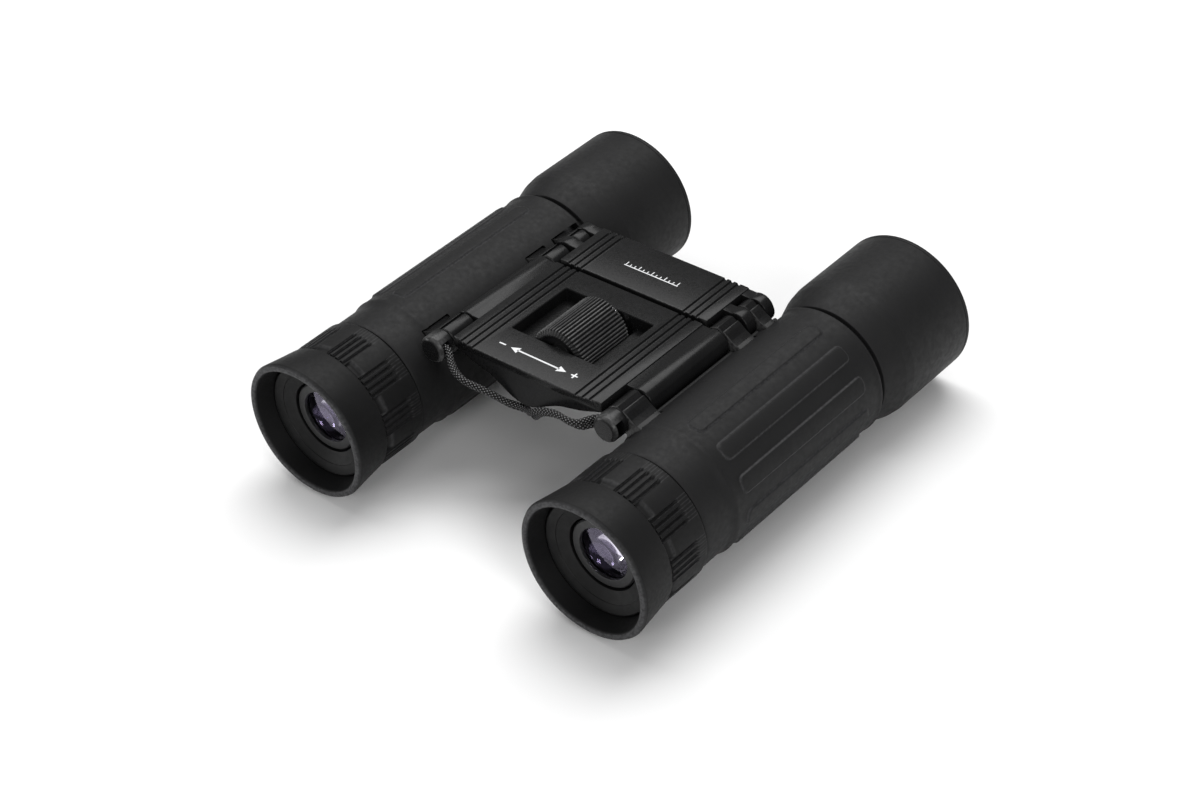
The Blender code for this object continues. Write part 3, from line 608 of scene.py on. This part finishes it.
def make_bridge(materials):
    bm = bmesh.new()
    bar(bm, plate_outline(), *REAR_PLATE, PLATE_END_ROUND, rear_bow)
    plate = finish("bridge_rear_plate", carved(bm, window_cutters()), materials["paint"], "bridge",
                   ["rear_bridge"])
    paint_highlight_and_wear(plate, lambda p: edge_highlight(p, REAR_PLATE))
    bm = bmesh.new()
    bar(bm, plate_outline(), *FRONT_PLATE, PLATE_END_ROUND)
    plate = finish("bridge_front_plate", bm, materials["paint"], "front_bridge", ["front_bridge"])
    paint_highlight_and_wear(plate, lambda p: edge_highlight(p, FRONT_PLATE))
    for name, side in SIDES.items():
        bm = bmesh.new()
        bar(bm, knuckle_outline(side), *LONG_KNUCKLE, 0.28)
        finish(f"{name}_long_knuckle", bm, materials["paint"], "bridge")
        bm = bmesh.new()
        for start, end in FINGERS:
            bar(bm, knuckle_outline(side), start, end, 0.25)
        finish(f"{name}_hinge_fingers", bm, materials["paint"], "front_bridge")
        make_eyelet(name, side, materials)
    make_marks(materials)


def edge_highlight(p, span):
    """Painted highlight along the top of a plate's rear edge."""
    station = p.y + REAR
    bow = rear_bow(p.x) if span == REAR_PLATE else 0.0
    on_top = smoothstep(PLATE_TOP - 0.35, PLATE_TOP - 0.12, p.z - AXIS_HEIGHT)
    rim = 1 - smoothstep(0.02, 0.2, station - span[0] - bow)
    return 0.5 * on_top * rim


def make_eyelet(name, side, materials):
    """Round end cap of the hinge rod with the slot that the loop passes through."""
    x = side * HINGE[0]
    slot = bmesh.new()
    shape = rounded_rectangle((x, EYELET_SLOT_STATION), EYELET_SLOT_HALVES, 0.3)
    loft_up(slot, [(HINGE[1] - EYELET_SLOT_HALF_HEIGHT, shape), (HINGE[1] + EYELET_SLOT_HALF_HEIGHT, shape)])
    bm = carved(turned(EYELET_PROFILE, x, HINGE[1], 64), [slot])
    piece = finish(f"{name}_eyelet_cap", bm, materials["paint"], "bridge", [f"{name}_strap_eyelet"])

    # Painted highlight on the outer rim of the cap's rear face.
    def highlight_and_wear(p):
        rim = smoothstep(2.5, 2.9, math.hypot(p.x - x, p.z - AXIS_HEIGHT - HINGE[1]))
        return 0.6 * rim * (1 - smoothstep(25.8, 26.2, p.y + REAR))

    paint_highlight_and_wear(piece, highlight_and_wear)


def make_marks(materials):
    """Plain focusing marks: a double arrow with minus and plus, and a short row of ticks."""
    middle, thick, shaft, sign_x, sign_half = 32.6, 0.2, 5.6, 9.6, 0.18
    marks = [[(-shaft, middle - thick), (shaft, middle - thick), (shaft, middle + thick), (-shaft, middle + thick)]]
    for side in (-1, 1):
        marks.append([(side * 7.4, middle), (side * 5.3, middle + 0.95), (side * 5.3, middle - 0.95)])
        marks.append(rounded_rectangle((side * sign_x, middle), (0.85, sign_half), 0.05))
    for offset in (0.52, -0.52):
        marks.append(rounded_rectangle((sign_x, middle + offset), (sign_half, 0.33), 0.03))
    flat_print("focus_direction_mark", marks, "bridge", materials["print"])
    base_line, tick_spacing, tick_foot = 69.2, 1.15, 69.4
    marks = [rounded_rectangle((0.0, base_line), (7.2, 0.13), 0.03)]
    for index in range(-6, 7):
        half_height = 0.55 if index % 3 == 0 else 0.3
        marks.append(rounded_rectangle((index * tick_spacing, tick_foot + half_height), (0.11, half_height), 0.03))
    flat_print("plate_tick_mark", marks, "front_bridge", materials["print"])


def make_wheel(materials):
    start, end = WHEEL
    ridge_step = 2 * math.pi / WHEEL_RIDGES

    def ridged(station, radius, angle):
        if radius < WHEEL_R - 1.5:
            return radius
        from_ridge = abs((angle % ridge_step) / ridge_step - 0.5) * 2
        depth = RIDGE_DEPTH * smoothstep(0.25, 0.95, from_ridge)
        inside = smoothstep(start, start + 0.5, station) * (1 - smoothstep(end - 0.5, end, station))
        return radius - depth * (RIDGE_END_SHARE + (1 - RIDGE_END_SHARE) * inside)

    corners = [(start, WHEEL_HUB_R, 0), (start, 3.0, 0.1), (start + 1.0, 3.2, 0.1), (start + 1.0, 4.9, 0.2),
               (start + 0.1, 5.3, 0.12), (start, 5.8, 0.12), (start + WHEEL_CORNER, WHEEL_R, 0.2)]
    for step in range(1, 8):
        corners.append((start + WHEEL_CORNER + (end - start - 2 * WHEEL_CORNER) * step / 8, WHEEL_R, 0))
    corners += [(end - WHEEL_CORNER, WHEEL_R, 0.2), (end, 5.8, 0.15), (end, WHEEL_HUB_R, 0)]
    bm = turned(corners, 0.0, WHEEL_HEIGHT, WHEEL_RIDGES * 14, ridged)
    wheel = finish("ribbed_focus_wheel", bm, materials["wheel"], "focus_wheel", ["focus_wheel"],
                   sharp=40)

    # Painted highlights on the ridge tips, stronger towards the rear rim.
    def highlight_and_wear(p):
        radius = math.hypot(p.x, p.z - AXIS_HEIGHT - WHEEL_HEIGHT)
        tips = smoothstep(WHEEL_R - 0.16, WHEEL_R - 0.02, radius)
        rim = 1 - smoothstep(start + 0.3, start + 0.9, p.y + REAR)
        return tips * (0.25 + 0.6 * rim)

    paint_highlight_and_wear(wheel, highlight_and_wear)


# ---------------------------------------------------------------- barrels

# outlines of the arms' webs from the knuckle to the barrel and back, in x and height
BODY_ARM = (
    (24.3, 14.86), (25.4, 14.15), (26.6, 13.1), (28.0, 12.3), (29.6, 11.75), (31.2, 11.35),
    (31.2, 10.56), (28.5, 8.38), (27.6, 8.0), (25.3, 8.85),
)
OBJECTIVE_ARM_OUTLINE = (
    (24.3, 14.86), (25.4, 14.15), (26.6, 13.1), (28.0, 12.3), (29.8, 11.6), (31.8, 11.0),
    (32.0, 9.7), (29.3, 7.6), (28.0, 8.0), (25.3, 8.85),
)
ARM_CLEARANCE = (
    (21.5, 15.6), (24.4, 15.2), (25.65, 14.4), (26.85, 13.35), (28.15, 12.62), (29.75, 12.06), (31.65, 11.6),
    (34.6, 10.3), (34.6, 6.6), (31.0, 6.85), (29.95, 6.85), (27.5, 7.65), (25.2, 8.5), (21.5, 8.6),
)


def arm_outline(side, web):
    """Hinge arm: a round knuckle and the web that runs down into the barrel."""
    outline = filleted([(x, height, 0.6) for x, height in web])
    first, sweep, steps = -98, -172, 22
    for step in range(steps + 1):
        angle = math.radians(first + sweep * step / steps)
        outline.append((HINGE[0] + KNUCKLE_R * math.cos(angle), HINGE[1] + KNUCKLE_R * math.sin(angle)))
    return [(side * x, height) for x, height in outline]


def pad_at(arc_from_pad, station):
    """A long rounded pad with soft shoulders: its share of the full rise, and the distance from its edge."""
    middle, half_length = sum(PAD_SPAN) / 2, (PAD_SPAN[1] - PAD_SPAN[0]) / 2
    dx = abs(arc_from_pad) - (PAD_HALF - PAD_CORNER)
    dy = abs(station - middle) - (half_length - PAD_CORNER)
    outside = math.hypot(max(dx, 0.0), max(dy, 0.0)) + min(max(dx, dy), 0.0) - PAD_CORNER
    return 1 - smoothstep(*PAD_SHOULDER, outside), abs(outside)


def pads_near(degrees, station, pads):
    """(full rise, share of it, distance from the edge) of each pad that can reach this point."""
    found = []
    for centre, full_rise in pads:
        apart = (degrees - centre + 180) % 360 - 180
        if abs(apart) < PAD_REACH_DEGREES:
            found.append((full_rise, *pad_at(math.radians(apart) * ARMOUR_R, station)))
    return found


def armour_angles():
    """Angles in degrees round the armour, closer together at the pads' shoulders."""
    half = math.degrees(PAD_HALF / ARMOUR_R)
    angles = []
    for centre, _ in PADS:
        for edge in (-half, half):
            angles += [centre + edge + offset for offset in (-1.6, -1.0, -0.5, -0.1, 0.3, 0.75, 1.2, 1.8)]
        angles += [centre + offset for offset in (-4.0, -2.0, 0.0, 2.0, 4.0)]
        angles += [centre + half + offset for offset in (3.5, 6.5, 9.5)]
    angles += [float(v) for v in (*range(98, 129, 3), *range(152, 228, 3))]
    return sorted({round(v % 360, 3) for v in angles})


def armour_stations():
    """Stations along the armour, closer together at the neck and at the pads' ends."""
    from_end = (-0.6, -0.25, 0.0, 0.25, 0.5, 0.8, 1.1, 1.5, 2.0)
    near = [PAD_SPAN[0] + offset for offset in from_end]
    far = [PAD_SPAN[1] - offset for offset in reversed(from_end)]
    middle = [float(v) for v in np.linspace(PAD_SPAN[0] + 4, PAD_SPAN[1] - 4, 12)]
    return [*NECK_STATIONS, *near, *middle, *far, 75.6, 76.8, 77.8]


def make_armour(side_name, side, materials):
    start, end = ARMOUR
    x = side * HALF_SPACING
    profile = [(start, ARMOUR_BORE), (start, ARMOUR_NECK_R - 0.35), (start + 0.1, ARMOUR_NECK_R - 0.12),
               (start + 0.35, ARMOUR_NECK_R)]
    for station in armour_stations():
        swell = smoothstep(*NECK_SWELL, station)
        lip = LIP_RISE * math.exp(-((station - LIP_STATION) / LIP_WIDTH) ** 2)
        profile.append((station, ARMOUR_NECK_R + (ARMOUR_R - ARMOUR_NECK_R) * swell + lip))
    profile += [(end - 0.9, ARMOUR_R + 0.12), (end - 0.45, ARMOUR_R + 0.24), (end - 0.1, ARMOUR_R + 0.16),
                (end, ARMOUR_R), (end, ARMOUR_BORE)]
    angles = armour_angles()
    bm = bmesh.new()
    rings = []
    for station, radius in profile:
        ring = []
        for degrees in angles:
            angle, r = math.radians(degrees), radius
            if radius > ARMOUR_BORE + 0.1:
                r += max([0.0] + [full * share for full, share, _ in pads_near(degrees, station, PADS)])
            ring.append(bm.verts.new(at(x + side * r * math.cos(angle), station, r * math.sin(angle))))
        rings.append(ring)
    for one, two in zip(rings, rings[1:] + rings[:1]):
        stitch(bm, one, two)
    clearance = filleted([(side * a, b, 0.5) for a, b in ARM_CLEARANCE])
    tools = []
    for span in ((REAR_ARM[0] - 0.6, REAR_ARM[1] + 0.5), (FRONT_ARM[0] - 0.5, FRONT_ARM[1] + 0.6),
                 OBJECTIVE_ARM_CUT):
        tools.append(bmesh.new())
        bar(tools[-1], clearance, *span, 0.25)
    piece = finish(f"{side_name}_rubber_armour", carved(bm, tools), materials["armour"], f"{side_name}_barrel",
                   [f"{side_name}_armour"], sharp=38)

    # Painted highlights along the pads' shoulders, the ridge beside the knuckle left out, and a weaker one on the
    # front rim.
    def highlight_and_wear(p):
        station, height = p.y + REAR, p.z - AXIS_HEIGHT
        degrees = math.degrees(math.atan2(height, side * (p.x - x)))
        shoulders = [0.85 * (1 - smoothstep(0.03, 0.3, edge)) for *_, edge in pads_near(degrees, station, PADS[:-1])]
        return max([0.2 * smoothstep(end - 0.5, end - 0.1, station)] + shoulders)

    paint_highlight_and_wear(piece, highlight_and_wear)


def arm_rim_highlight(span):
    """Painted highlight on the rear rim of a hinge arm."""
    return lambda p: 0.55 * (1 - smoothstep(0.0, 0.22, p.y + REAR - span[0]))


def make_body(side_name, side, materials):
    x = side * HALF_SPACING
    shell = [(20.8, 11.8, 0), (20.8, 13.3, 0.2), (79.0, 13.3, 0.2), (79.0, 11.8, 0)]
    tool = bmesh.new()
    bar(tool, [(side * a, b) for a, b in ARM_CLEARANCE], *OBJECTIVE_ARM_CUT, 0.05)
    finish(f"{side_name}_barrel_shell", carved(turned(shell, x, 0.0, 96), [tool]), materials["plastic"],
           f"{side_name}_barrel", [f"{side_name}_body"])
    for label, span in (("rear", REAR_ARM), ("front", FRONT_ARM)):
        bm = bmesh.new()
        bar(bm, arm_outline(side, BODY_ARM), *span, 0.25)
        arm = finish(f"{side_name}_{label}_hinge_arm", bm, materials["paint"], f"{side_name}_barrel")
        paint_highlight_and_wear(arm, arm_rim_highlight(span))


def eyepiece_body(side_name, ring=False):
    """The left eyepiece is fixed; on the right the ring turns and the lenses move in and out."""
    if side_name == "left":
        return "left_barrel"
    return "diopter_ring" if ring else "right_eyepiece"


def soft_mouth(station, radius, angle):
    """The thin rubber mouth of the cup is a little squeezed, more so towards its rim."""
    turn = angle - math.radians(MOUTH_TURN)
    squeeze = sum(amount * math.cos(waves * turn) for waves, amount in MOUTH_SQUEEZE.items())
    return radius + squeeze * (1 - smoothstep(0.0, MOUTH_DEPTH, station))


def dome(surface_at, radii):
    """Profile of a lens face: (station on the axis, curvature)."""
    station, curvature = surface_at
    return [(station + curvature * r * r, r, 0) for r in radii]


def make_eyepiece(side_name, side, materials):
    x = side * HALF_SPACING
    ring_body = eyepiece_body(side_name, True)
    lens_body = eyepiece_body(side_name)
    cup = [(0.1, 14.3, 0.25), (0.0, 14.8, 0.3), (0.1, 15.35, 0.35), (0.9, 15.72, 0.4), (5.0, 15.42, 2.0),
           (9.2, 15.0, 0.3), (9.2, 10.4, 0), (8.05, 10.4, 0), (8.05, 13.45, 0), (4.7, 13.48, 0.3), (0.6, 14.05, 0.3)]
    piece = finish(f"{side_name}_soft_eyecup", turned(cup, x, 0.0, 160, soft_mouth), materials["cup"], ring_body,
                   [f"{side_name}_eyecup"])
    # Painted highlight on the eyecup's rim lip.
    paint_highlight_and_wear(piece, lambda p: 0.75 * (1 - smoothstep(0.05, 0.45, p.y + REAR)))
    housing = [(6.3, 8.3, 0.12), (5.35, 10.95, 0.1), (5.2, 11.0, 0.05), (4.6, 12.85, 0.15), (4.75, 13.15, 0.1),
               (7.7, 13.15, 0), (7.7, 10.0, 0), (19.8, 10.0, 0), (19.8, 8.3, 0)]
    # The bowl's material is darkened as painted shade of the recess.
    finish(f"{side_name}_eyepiece_bowl", turned(housing, x, 0.0, 128), materials["shaded_bowl"], ring_body,
           [f"{side_name}_eyepiece_housing"])
    make_grip_ring(side_name, side, materials)
    cell = [(6.45, 5.95, 0.1), (6.45, 7.6, 0.15), (6.75, 7.9, 0), (24.0, 7.9, 0), (24.0, 6.9, 0), (7.3, 6.9, 0),
            (7.3, 5.95, 0.1)]
    finish(f"{side_name}_eyepiece_cell", turned(cell, x, 0.0, 96), materials["plastic"], lens_body,
           [f"{side_name}_eyepiece_tube"])
    lens = dome(EYE_LENS_NEAR, EYE_LENS_RADII) + dome(EYE_LENS_FAR, reversed(EYE_LENS_RADII))
    finish(f"{side_name}_eye_lens_glass", turned(lens, x, 0.0, 96), materials["lens"], lens_body,
           [f"{side_name}_eye_lens"], sharp=30)


def make_grip_ring(side_name, side, materials):
    start, end = RING
    x = side * HALF_SPACING
    first = FIRST_GROUP[side_name]
    group_step = 360.0 / RING_GROUPS

    def groove_share(degrees):
        """How deep the angle lies in a groove, and how far it is onto a smooth panel."""
        apart = (degrees - first + group_step / 2) % group_step - group_step / 2
        outermost = (GROOVES_PER_GROUP - 1) / 2 * GROOVE_PITCH
        panel = smoothstep(*(outermost + edge for edge in PANEL_SHOULDER), abs(apart))
        nearest = min(abs(apart + outermost - index * GROOVE_PITCH) for index in range(GROOVES_PER_GROUP))
        return 1 - smoothstep(*GROOVE_SHOULDER, nearest), panel

    def shaped(station, radius, angle):
        if radius < RING_R - 0.9:
            return radius
        groove, panel = groove_share(math.degrees(angle))
        run = 1 - smoothstep(*GROOVE_END, station)
        chamfer = 1 - smoothstep(start + 0.5, start + 1.9, station)
        return radius - RING_GROOVE_DEPTH * groove * run - PANEL_CHAMFER * panel * chamfer

    corners = [(10.9, 10.4, 0), (start, 10.4, 0), (start, RING_R, 0.3)]
    for station in (10.0, 10.4, 10.8, 11.2, 11.6, 12.5, 14.0, 15.5, 16.6, 17.0, 17.3, 17.5, 17.7, 18.0, 18.6, 19.4):
        corners.append((station, RING_R, 0))
    corners += [(end, RING_R, 0.35), (end, 13.2, 0), (10.9, 13.2, 0)]
    piece = finish(f"{side_name}_ribbed_grip_ring", turned(corners, x, 0.0, 720, shaped), materials["cup"],
                   eyepiece_body(side_name, True), [f"{side_name}_grip_ring"], sharp=50)

    # Painted highlights on the grooves' edges and on the smooth panels' chamfer.
    def highlight_and_wear(p):
        groove, panel = groove_share(math.degrees(math.atan2(p.z - AXIS_HEIGHT, p.x - x)))
        edge = groove * (1 - groove) * 4
        station = p.y + REAR
        lip = panel * (1 - smoothstep(0.0, 0.5, abs(station - start - 1.5)))
        return min(1.0, 0.45 * edge + 0.4 * lip)

    paint_highlight_and_wear(piece, highlight_and_wear)


def make_objective(side_name, side, materials):
    x = side * HALF_SPACING
    body = f"{side_name}_objective"
    tube = [(58.0, 10.2, 0), (58.0, 11.5, 0.2), (82.3, 11.5, 0.3), (84.1, 14.3, 0.3), (107.3, 14.3, 0.2),
            (107.3, 13.1, 0.15), (97.0, 13.1, 0), (97.0, 12.1, 0), (85.2, 12.1, 0), (83.4, 10.2, 0)]
    finish(f"{side_name}_objective_cell", turned(tube, x, 0.0, 96), materials["anodised"], body,
           [f"{side_name}_objective_tube"])
    bm = bmesh.new()
    bar(bm, arm_outline(side, OBJECTIVE_ARM_OUTLINE), *OBJECTIVE_ARM, 0.22)
    arm = finish(f"{side_name}_objective_arm", bm, materials["paint"], body)
    paint_highlight_and_wear(arm, arm_rim_highlight(OBJECTIVE_ARM))
    hood = [(80.0, 11.8, 0), (80.0, 13.4, 0.1), (80.75, 13.4, 0.08), (80.95, 14.3, 0.15), (81.9, 14.6, 0.8),
            (86.4, 16.05, 1.5), (88.8, 16.38, 1.5),
            (108.2, 16.4, 0.1), (108.35, 16.25, 0.05), (108.5, 16.4, 0.1), (109.3, 16.38, 0.4), (109.98, 15.7, 0.3),
            (110.0, 14.3, 0.2), (109.3, 13.6, 0.2), (107.6, 13.6, 0), (107.6, 14.6, 0), (83.8, 14.6, 0),
            (82.0, 11.8, 0)]
    piece = finish(f"{side_name}_rubber_hood", turned(hood, x, 0.0, 160), materials["armour"], body,
                   [f"{side_name}_hood"])
    paint_highlight_and_wear(piece, lambda p: 0.3 * smoothstep(109.0, 109.6, p.y + REAR))
    crown = [(100.6, 0.0, 0), (100.4, 7.0, 0), (99.7, 12.8, 0), (102.4, 12.8, 0)]
    crown += dome(OBJECTIVE_FRONT, OBJECTIVE_RADII)
    finish(f"{side_name}_objective_glass", turned(crown, x, 0.0, 96), materials["lens"], body,
           [f"{side_name}_objective_crown"], sharp=30)


# ---------------------------------------------------------------- carrying loop


def smooth_route(points, spacing):
    """Curve through the route points, resampled at an even spacing."""
    pts = [Vector(p) for p in points]
    pts = [pts[0] * 2 - pts[1]] + pts + [pts[-1] * 2 - pts[-2]]
    dense = []
    for p0, p1, p2, p3 in zip(pts, pts[1:], pts[2:], pts[3:]):
        for step in range(12):
            t = step / 12
            dense.append(0.5 * ((2 * p1) + (p2 - p0) * t + (2 * p0 - 5 * p1 + 4 * p2 - p3) * t * t
                                + (3 * p1 - p0 - 3 * p2 + p3) * t * t * t))
    dense.append(pts[-2])
    travelled = [0.0]
    for index in range(1, len(dense)):
        travelled.append(travelled[-1] + (dense[index] - dense[index - 1]).length)
    count = max(4, round(travelled[-1] / spacing))
    wanted = np.linspace(0.0, travelled[-1], count + 1)
    columns = [np.interp(wanted, travelled, [p[axis] for p in dense]) for axis in range(3)]
    return [Vector(values) for values in zip(*columns)]


def tangent_at(route, index):
    return (route[min(index + 1, len(route) - 1)] - route[max(index - 1, 0)]).normalized()


def strand_route(sign, spacing):
    """Centreline of one strand: stacked in the eyelets, the upper one leaning back along the way."""
    centre = smooth_route(LOOP_ROUTE, spacing)
    points = []
    for index, point in enumerate(centre):
        tangent = tangent_at(centre, index)
        spread = smoothstep(0.0, 1.0, (STACKED_BEYOND_X - abs(point.x)) / LEAN_RUN)
        lean = Vector((0.0, -LEAN_BACK * spread, LEAN_UP - LEAN_DROP * spread))
        across = lean - tangent * lean.dot(tangent)
        points.append(at(*(point + across.normalized() * STRAND_OFFSET * sign)))
    return points


def make_loop(materials):
    """Both strands of the braided loop, with yarns crossing over and under."""
    for name, sign in STRANDS.items():
        route = strand_route(sign, BRAID_STEP)
        bm = bmesh.new()
        layer = bm.verts.layers.float.new("highlight_and_wear")
        rings = []
        normal = Vector((0, 0, 1))
        for index, point in enumerate(route):
            tangent = tangent_at(route, index)
            normal = (normal - tangent * normal.dot(tangent)).normalized()
            side = tangent.cross(normal)
            along = index * BRAID_STEP / BRAID_PITCH * 2 * math.pi
            ring = []
            for corner in range(BRAID_SIDES):
                angle = 2 * math.pi * corner / BRAID_SIDES
                right = math.sin(BRAID_YARNS / 2 * angle + along)
                left = math.sin(BRAID_YARNS / 2 * angle - along)
                crown = math.sqrt(abs(right * left))
                radius = LOOP_R * (BRAID_VALLEY + BRAID_CROWN * crown)
                vertex = bm.verts.new(point + (normal * math.cos(angle) + side * math.sin(angle)) * radius)
                # The crowns take the braid's painted highlights.
                vertex[layer] = crown
                ring.append(vertex)
            rings.append(ring)
        skin(bm, rings)
        piece = finish(f"braided_strand_{name}", bm, materials["cord"], "bridge", [f"loop_strand_{name}"],
                       sharp=60)


# ---------------------------------------------------------------- inner parts


def finish_inner_parts(materials):
    """Materials of the CAD solids that stay as they are."""
    by_ending = {
        "field_stop": "plastic", "prism_cage": "plastic", "roof_prism": "prism", "penta_prism": "prism",
        "lens_spacer": "plastic", "field_lens": "lens", "eyepiece_retainer": "plastic",
        "objective_flint": "lens", "objective_retainer": "anodised", "hinge_rod": "steel",
        "focus_spindle": "steel", "thrust_washer": "steel", "focus_nut": "brass",
    }
    for name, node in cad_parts.items():
        for ending, material in by_ending.items():
            if name.endswith(ending):
                node.data.materials.clear()
                node.data.materials.append(materials[material])


# ---------------------------------------------------------------- studio


def make_studio():
    floor_mesh = bpy.data.meshes.new("studio_floor")
    floor_mesh.from_pydata([(-4, -4, 0), (4, -4, 0), (4, 4, 0), (-4, 4, 0)], [], [(0, 1, 2, 3)])
    floor = bpy.data.objects.new("studio_floor", floor_mesh)
    bpy.context.scene.collection.objects.link(floor)
    material, _, _, shader = new_material("studio_white")
    shader.inputs["Base Color"].default_value = (0.93, 0.93, 0.93, 1.0)
    shader.inputs["Roughness"].default_value = 0.9
    shader.inputs["Specular IOR Level"].default_value = 0.1
    floor_mesh.materials.append(material)

    world = bpy.data.worlds.new("studio")
    bpy.context.scene.world = world
    world.use_nodes = True
    world.node_tree.nodes["Background"].inputs["Color"].default_value = (1.0, 1.0, 1.0, 1.0)
    world.node_tree.nodes["Background"].inputs["Strength"].default_value = 0.22

    add_softbox("overhead_softbox", (-0.25, 0.35, 0.95), (0.0, 0.0, 0.0), (1.1, 0.8), 12.0)
    add_softbox("side_softbox", (0.85, -0.35, 0.5), (0.0, 0.0, 0.02), (0.3, 0.5), 3.0)
    add_softbox("rear_softbox", (0.25, -0.95, 0.55), (0.0, 0.0, 0.02), (0.3, 0.35), 2.2)
    add_softbox("low_softbox", (-0.78, -0.52, 0.14), (0.0, -0.05, 0.02), (0.3, 0.22), 2.0)

    bpy.context.scene.view_settings.view_transform = "Standard"
    bpy.context.scene.view_settings.look = "None"


def add_softbox(name, place_at, target, size, power):
    """Area light at a point in metres, facing the target; power in watts."""
    light = bpy.data.lights.new(name, "AREA")
    light.shape = "RECTANGLE"
    light.size, light.size_y = size
    light.energy = power
    lamp = bpy.data.objects.new(name, light)
    lamp.location = place_at
    lamp.rotation_mode = "QUATERNION"
    lamp.rotation_quaternion = (Vector(target) - Vector(place_at)).to_track_quat("-Z", "Y")
    bpy.context.scene.collection.objects.link(lamp)


def make_camera():
    azimuth, elevation = math.radians(CAMERA["azimuth"]), math.radians(CAMERA["elevation"])
    back = Vector((math.sin(azimuth) * math.cos(elevation), -math.cos(azimuth) * math.cos(elevation),
                   math.sin(elevation)))
    camera = bpy.data.objects.new("camera", bpy.data.cameras.new("camera"))
    camera.data.lens = CAMERA["lens"]
    camera.data.sensor_width = 36.0
    camera.data.clip_start = 0.01
    camera.location = (CAMERA_TARGET + back * CAMERA["distance"]) * MM
    camera.rotation_mode = "QUATERNION"
    roll = Quaternion((0, 0, 1), math.radians(CAMERA["roll"]))
    camera.rotation_quaternion = (-back).to_track_quat("-Z", "Y") @ roll
    bpy.context.scene.collection.objects.link(camera)
    bpy.context.scene.camera = camera


def main():
    materials = make_materials()
    make_camera()
    make_loop(materials)
    make_bridge(materials)
    make_wheel(materials)
    for side_name, side in SIDES.items():
        make_body(side_name, side, materials)
        make_armour(side_name, side, materials)
        make_eyepiece(side_name, side, materials)
        make_objective(side_name, side, materials)
    finish_inner_parts(materials)
    make_studio()


main()
